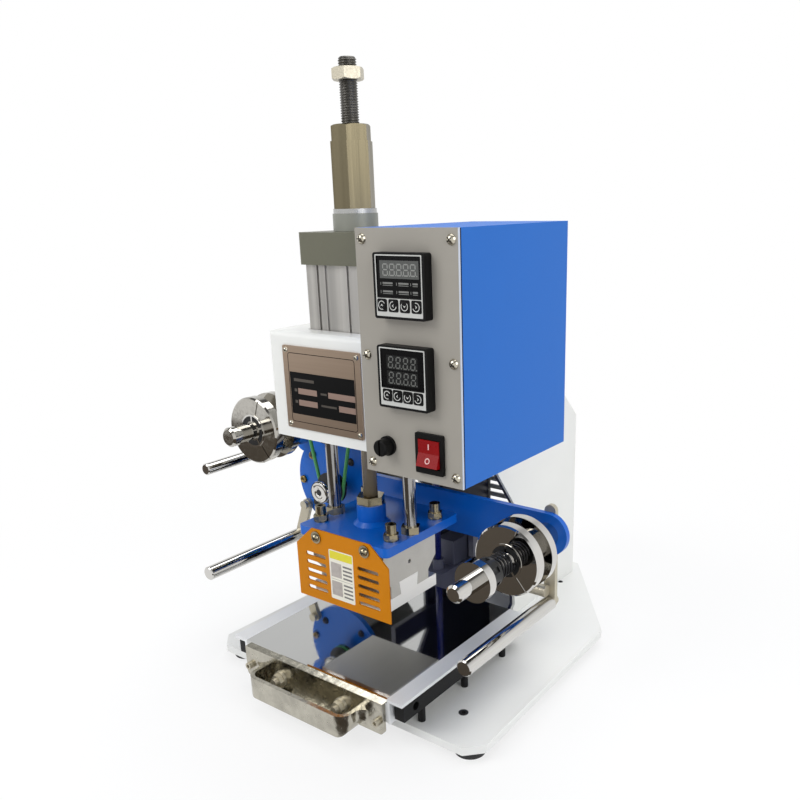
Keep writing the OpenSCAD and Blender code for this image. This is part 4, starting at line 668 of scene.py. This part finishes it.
takeup_at, motor_at = (np.array((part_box(n)[0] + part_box(n)[1]) / 2) for n in
                       ("takeup_bearing", "motor_pulley"))
belt_low, belt_high = (np.array(c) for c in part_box("drive_belt"))
belt_r, belt_y = (belt_high[1] - belt_low[1]) / 2, (belt_high[1] + belt_low[1]) / 2
big_r = belt_high[2] - belt_r - takeup_at[2]
small_r = motor_at[2] - belt_low[2] - belt_r
lean = math.asin((big_r - small_r) / (takeup_at[2] - motor_at[2]))
over = np.linspace(-lean, math.pi + lean, 48)
under = np.linspace(math.pi + lean, 2 * math.pi - lean, 32)
belt_path = np.concatenate([
    np.stack([takeup_at[0] + big_r * np.cos(over), np.full(len(over), belt_y),
              takeup_at[2] + big_r * np.sin(over)], -1),
    np.stack([takeup_at[0] + small_r * np.cos(under), np.full(len(under), belt_y),
              motor_at[2] + small_r * np.sin(under)], -1)])
belt_cord = finish("green cord belt", tint(70, 150, 84), rough=0.5, tone=0.06, grain=900)
belt = tube("round_belt", belt_path, belt_r, belt_cord, "frame", closed=True)
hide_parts("drive_belt")


def turned(name, shape, centre, material, body):
    """A turned piece about an axis along y: a profile of radius and depth, both in
    millimetres, carried round on a circle and closed by a face at each end."""
    turns = np.linspace(0, 2 * np.pi, 60, endpoint=False)
    shape = np.array(shape, float)
    grid = np.stack([shape[:, :1] * np.cos(turns), np.repeat(shape[:, 1:], len(turns), 1),
                     -shape[:, :1] * np.sin(turns)], -1) / 1000 + np.array(centre)
    return grid_piece(name, grid, material, body, ring=True, caps=True)


thumb_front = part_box("motor_pulley")[0].y
thumb_shape = [[3.4, 2.5], [3.4, 0.4], [3.8, -0.3], [10.8, -0.3], [12.3, 1.2], [12.3, 6.2],
               [9.0, 6.2]]
turned("thumb_disc", thumb_shape, (motor_at[0], thumb_front, motor_at[2]), mirror_chrome,
       "motor_wheel")
hub_shade = finish("hub shade", tint(9, 9, 10), rough=0.6)
brass_bolt = finish("dull brass bolt", tint(136, 116, 74), metal=1, rough=0.36)
hub_round = on_circle(np.linspace(0, 2 * np.pi, 48, endpoint=False))
hub_bore, hub_r, rim_bore, rim_r, spoke_count = 9.6, 15.1, 14.6, 16.2, 5
spoke = np.array([[-0.9, 9.2], [0.9, 9.2], [0.9, 14.9], [-0.9, 14.9]])
spokes = [spun(spoke, a) for a in np.arange(spoke_count) * 2 * np.pi / spoke_count]
for side in ("supply", "takeup"):
    disc_low, disc_high = (np.array(c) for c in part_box(f"{side}_discs"))
    hub_at = (disc_low + disc_high) / 2
    hub_at[1] = disc_low[1]
    printed(f"{side}_hub_shade", [hub_r * hub_round], -0.1, 0.1, hub_shade, side, hub_at,
            holes=[hub_bore * hub_round])
    printed(f"{side}_hub_spokes", spokes, -0.4, 0.35, mirror_chrome, side, hub_at)
    printed(f"{side}_hub_ring", [rim_r * hub_round], -0.5, 0.5, mirror_chrome, side, hub_at,
            holes=[rim_bore * hub_round])
arm_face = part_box("support_plate")[0].y
bolt_shape = [[2.2, -1.4], [2.2, -3.2], [3.6, -3.2], [4.4, -2.4], [4.4, 0.2]]
bolt_places = ((-176.0, 156.0), (-158.9, 187.5))
for number, (x, z) in enumerate(bolt_places):
    turned(f"lobe_bolt_{number}", bolt_shape,
           press + np.array([x / 1000, arm_face - press[1], z / 1000]), brass_bolt, "frame")

# CONTROL BOX
# A folded sheet box in satin blue, closed by a warm grey panel with a bright
# cut edge. The fuse cap and the rocker sit below the two meters.
dress(finish("box blue coat", tint(26, 100, 186), rough=0.5, tone=0.008, rub=0.05, grain=1500,
             bump=0.03, shine=0.3), "box_shell")
dress(finish("panel grey", tint(151, 146, 137), rough=0.45, tone=0.02, grain=1500, bump=0.03),
      "front_panel")


def slab(name, low, high, material, body):
    """A plain block between two corners in metres."""
    (x0, y0, z0), (x1, y1, z1) = low, high
    points = [(x0, y0, z0), (x1, y0, z0), (x1, y1, z0), (x0, y1, z0),
              (x0, y0, z1), (x1, y0, z1), (x1, y1, z1), (x0, y1, z1)]
    faces = [(3, 2, 1, 0), (4, 5, 6, 7), (0, 1, 5, 4), (1, 2, 6, 5), (2, 3, 7, 6), (3, 0, 4, 7)]
    return mesh_piece(name, points, faces, material, body)


cut_low, cut_high = (np.array(c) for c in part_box("front_panel"))
cut_bright = finish("bright cut edge", tint(196, 203, 216), metal=0.3, rough=0.4, tone=0.03)
slab("panel_edge", (cut_high[0] - 0.0005, cut_low[1] - 0.0002, cut_low[2]),
     (cut_high[0] + 0.0002, cut_low[1] + 0.0012, cut_high[2]), cut_bright, "frame")
seam_dark = finish("seam shade", tint(14, 30, 66), rough=0.7, tone=0.02, shine=0.1)
slab("panel_seam", (cut_high[0] - 0.0002, cut_low[1] + 0.0013, cut_low[2] + 0.0002),
     (cut_high[0] + 0.0002, cut_low[1] + 0.0026, cut_high[2] - 0.0002), seam_dark, "frame")
moulded_black = finish("moulded black", tint(9, 9, 9), rough=0.5, tone=0.12, grain=1200, bump=0.02,
                       shine=0.18)
dress(moulded_black, "meters", "switch_bezel", "fuse_holder", "fuse_cap")
dress(finish("key black", tint(8, 8, 9), rough=0.5, tone=0.1, shine=0.18),
      *[f"{meter}_key_{k}" for meter in ("timer", "heat") for k in (1, 2, 3, 4)])

# METER FACES
# Each meter has a pale printed face with a dark window over a display field,
# seven-segment digits that are unlit, and a round legend on every key.
meter_face, key_below = panel_low[1] - 8.8, 14.0
key_boxes = {meter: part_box(f"{meter}_key_1") for meter in ("timer", "heat")}
meter_z = {meter: (low.z + high.z) * 500 + key_below for meter, (low, high) in key_boxes.items()}
meter_x = (panel_low[0] + panel_high[0]) / 2
face_w, face_low, face_high, face_t, face_rim = 43.6, -22.0, 22.6, 0.15, 0.9
window_low, window_depth, key_ground, key_clear = -8.7, 0.6, 9.5, 0.06
key_well = (key_boxes["timer"][1].x - key_boxes["timer"][0].x) * 500 + key_clear
pale_print = finish("pale printed face", tint(186, 186, 182), rough=0.5, tone=0.02)
window_dark = finish("dark window", tint(6, 6, 7), rough=0.3, tone=0.05, shine=0.12)
field_tone = {
    "timer": finish("display grey", tint(84, 85, 83), rough=0.3, tone=0.04, shine=0.2),
    "heat": finish("dark field", tint(26, 26, 26), rough=0.3, tone=0.04, shine=0.2)}
digit_tone = {
    "timer": finish("unlit segments", tint(138, 139, 135), rough=0.35, tone=0.03, shine=0.2),
    "heat": finish("dim segments", tint(98, 99, 96), rough=0.35, tone=0.03, shine=0.2)}


def segments(x, z, w, h, bar, lean):
    """The seven bars of one digit and its point, as outlines: three lying bars and
    four standing ones with pointed ends, sheared to the right by lean times height."""
    half, tip, neck = bar / 2, bar * 0.7, bar * 1.2
    bars = [np.array([[tip, cz], [neck, cz - half], [w - neck, cz - half], [w - tip, cz],
                      [w - neck, cz + half], [neck, cz + half]])
            for cz in (half, h / 2, h - half)]
    bars += [np.array([[cx, z0 + tip], [cx + half, z0 + neck], [cx + half, z1 - neck],
                       [cx, z1 - tip], [cx - half, z1 - neck], [cx - half, z0 + neck]])
             for cx in (half, w - half) for z0, z1 in ((0, h / 2), (h / 2, h))]
    dot = np.array([[0, 0], [bar, 0], [bar, bar], [0, bar]]) + [w + bar * 0.5, 0]
    return [np.stack([x + o[:, 0] + lean * o[:, 1], z + o[:, 1]], -1) for o in bars + [dot]]


def meter_face_print(meter, keys_pitch, fields, digits, lean):
    """The print of one meter: pale face, window, display fields and digits."""
    centre = press + np.array([meter_x, 0, meter_z[meter]]) / 1000
    outer = box_outline((-face_w / 2, face_low), (face_w / 2, face_high), 0.6)
    hole = box_outline((-face_w / 2 + face_rim, window_low),
                       (face_w / 2 - face_rim, face_high - face_rim), 0.3)
    printed(f"{meter}_face", [outer], meter_face - face_t, face_t, pale_print, "frame", centre,
            holes=[hole])
    floor_y = meter_face + window_depth
    printed(f"{meter}_window", [hole], floor_y, 0.6, window_dark, "frame", centre)
    for number, (a, b) in enumerate(fields):
        printed(f"{meter}_field_{number}", [box_outline(a, b, 0.3)], floor_y - 0.05, 0.05,
                field_tone[meter], "frame", centre)
    outlines = [outline for digit in digits for outline in segments(*digit, lean)]
    printed(f"{meter}_digits", outlines, floor_y - 0.1, 0.05, digit_tone[meter], "frame", centre)
    key_z, square = -key_below, key_ground
    squares = [box_outline(((k - 1.5) * keys_pitch - square / 2, key_z - square / 2),
                           ((k - 1.5) * keys_pitch + square / 2, key_z + square / 2), 1.4)
               for k in range(4)]
    around = np.radians(9 + 18 * np.arange(20))
    wells = [on_circle(around, key_well) + [(k - 1.5) * keys_pitch, key_z] for k in range(4)]
    printed(f"{meter}_key_grounds", squares, meter_face - 2 * face_t, face_t, moulded_black,
            "frame", centre, holes=wells)


timer_fields = [((-18.0, 5.5), (18.5, 18.4))]
timer_digits = [(-15.3 + 6.5 * k, 7.3, 5.2, 8.9, 0.9) for k in range(5)]
heat_fields = [((-15.4, 6.2), (14.6, 16.9)), ((-15.4, -5.7), (14.6, 5.0))]
heat_digits = [(-14.2 + 7.2 * k, z, 4.9, 9.3, 1.05) for k in range(4) for z in (6.9, -5.0)]
meter_face_print("timer", 10.8, timer_fields, timer_digits, lean=0.0)
meter_face_print("heat", 10.0, heat_fields, heat_digits, lean=0.1)

label_columns = ((-17.6, 9.6), (-2.6, 9.6), (10.6, 4.8))
lamp_bars = [box_outline((x, z), (x + 0.5, z + 2.2), 0.1, 2)
             for x, _ in label_columns for z in (0.6, -5.4)]
label_bars = [box_outline((x + 2.0, z + a), (x + 2.0 + w, z + b), 0.2, 2)
              for x, w in label_columns for z in (0.2, -5.8)
              for a, b in ((1.3, 2.6), (0.1, 0.6))]
label_grey = finish("blank label bars", tint(118, 118, 115), rough=0.5, tone=0.03, shine=0.2)
printed("timer_labels", lamp_bars + label_bars, meter_face + 0.5, 0.05, label_grey, "frame",
        press + np.array([meter_x, 0, meter_z["timer"]]) / 1000)

# KEY LEGENDS
# A pale ring with a gap and a small mark in its middle, printed on each key's
# face, so that it goes in with the key.
ring_pale = finish("pale legend", tint(200, 200, 196), rough=0.5, tone=0.02)
legend_r, legend_bore, legend_sweep = 3.3, 2.75, 4.6
legend_mark = np.array([[-1.4, -0.8], [0, 1.0], [1.4, -0.8], [0, -0.1]])
for meter in ("timer", "heat"):
    for k in range(4):
        name = f"{meter}_key_{k + 1}"
        low, high = (np.array(c) * 1000 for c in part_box(name))
        centre = (low + high) / 2
        sweep = np.linspace(0.5 + k, 0.5 + k + legend_sweep, 20)
        ring = np.concatenate([on_circle(sweep, legend_r), on_circle(sweep[::-1], legend_bore)])
        mark = spun(legend_mark, np.pi / 2 * k)
        printed(f"{name}_legend", [ring, mark], low[1] - 0.04, 0.04, ring_pale, f"{name}_cap",
                np.array([centre[0], 0, centre[2]]) / 1000)

# ROCKER SWITCH
# Clear red moulding with the usual line and circle, pale, set in its face.
# The lower end stands out, as the upper end is pressed in.
dress(finish("red moulding", tint(132, 4, 8), rough=0.3, tone=0.05, rub=0.04, coat=0.15,
             shine=0.25), "switch_rocker")
rocker_low, rocker_high = (np.array(c) * 1000 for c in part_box("switch_rocker"))
rocker_x = (rocker_low[0] + rocker_high[0]) / 2
rocker_z = (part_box("switch_bezel")[0].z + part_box("switch_bezel")[1].z) / 2 * 1000
rocker_tilt, rocker_dip, rocker_tip, rocker_half = math.radians(10), 3.6, 5.4, 10.55
legend_white = finish("pale rocker print", tint(226, 190, 186), rough=0.4, tone=0.02)


def onto_rocker(piece):
    """Lays a flat print on the rocker: its depth runs out from the face, which slopes
    from the middle ridge, and the whole is tilted with the rocker about its pivot."""
    flat = np.empty(len(piece.data.vertices) * 3)
    piece.data.vertices.foreach_get("co", flat)
    x, y, z = flat.reshape(-1, 3).T * 1000
    out = y - rocker_dip - np.abs(z) * (rocker_tip - rocker_dip) / rocker_half
    c, s = math.cos(rocker_tilt), math.sin(rocker_tilt)
    laid = np.stack([rocker_x + x, press[1] * 1000 + panel_low[1] + out * c + z * s,
                     rocker_z - out * s + z * c], -1) / 1000
    piece.data.vertices.foreach_set("co", laid.ravel())
    piece.data.update()


line = box_outline((-0.45, 3.2), (0.45, 7.6), 0.1, 2)
ring_turns, ring_at = np.linspace(0, 2 * np.pi, 23, endpoint=False), np.array([0, -5.6])
ring, ring_hole = (on_circle(ring_turns, radius) + ring_at for radius in (2.3, 1.6))
onto_rocker(printed("rocker_line", [line], -0.04, 0.1, legend_white, "rocker", (0, 0, 0)))
onto_rocker(printed("rocker_ring", [ring], -0.04, 0.1, legend_white, "rocker", (0, 0, 0),
                    holes=[ring_hole]))

# AIR LINE
# A small solenoid valve in grey enamel behind the column's throat, and the
# navy air tube that bends over the bridge into the lower cap.
dress(finish("valve grey", tint(84, 86, 104), rough=0.5, tone=0.03), "air_valve")
valve_x, valve_y, hose_low, port_z, port_y, fitting_l = -33.0, 145.0, 66.0, 289.5, 36.0, 12.0
bend_share, bend_lead, hose_r = 0.72, 16.0, 0.004
bends = np.array([[valve_x, valve_y, port_z * bend_share], [valve_x, valve_y, port_z + bend_lead],
                  [0, valve_y - bend_lead, port_z], [0, port_y + fitting_l, port_z]])
share = np.linspace(0, 1, 60)[:, None]
bent = ((1 - share) ** 3 * bends[0] + 3 * share * (1 - share) ** 2 * bends[1]
        + 3 * share ** 2 * (1 - share) * bends[2] + share ** 3 * bends[3])
hose_path = np.concatenate([[[valve_x, valve_y, hose_low]], bent]) / 1000 + press
hose_skin = finish("navy air tube", tint(24, 34, 110), rough=0.3, tone=0.05, coat=0.3)
hose = tube("air_tube", hose_path, hose_r, hose_skin, "frame", side=(1.0, 0.0, 0.0))
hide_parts("air_hose")
fitting_shape = [[6.5, 36], [6.5, 42], [5.6, 42.6], [5.6, 46], [4.6, 48]]
collet = turned("push_fitting", fitting_shape, press + np.array([0, 0, port_z / 1000]),
                moulded_black, "frame")

low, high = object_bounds()
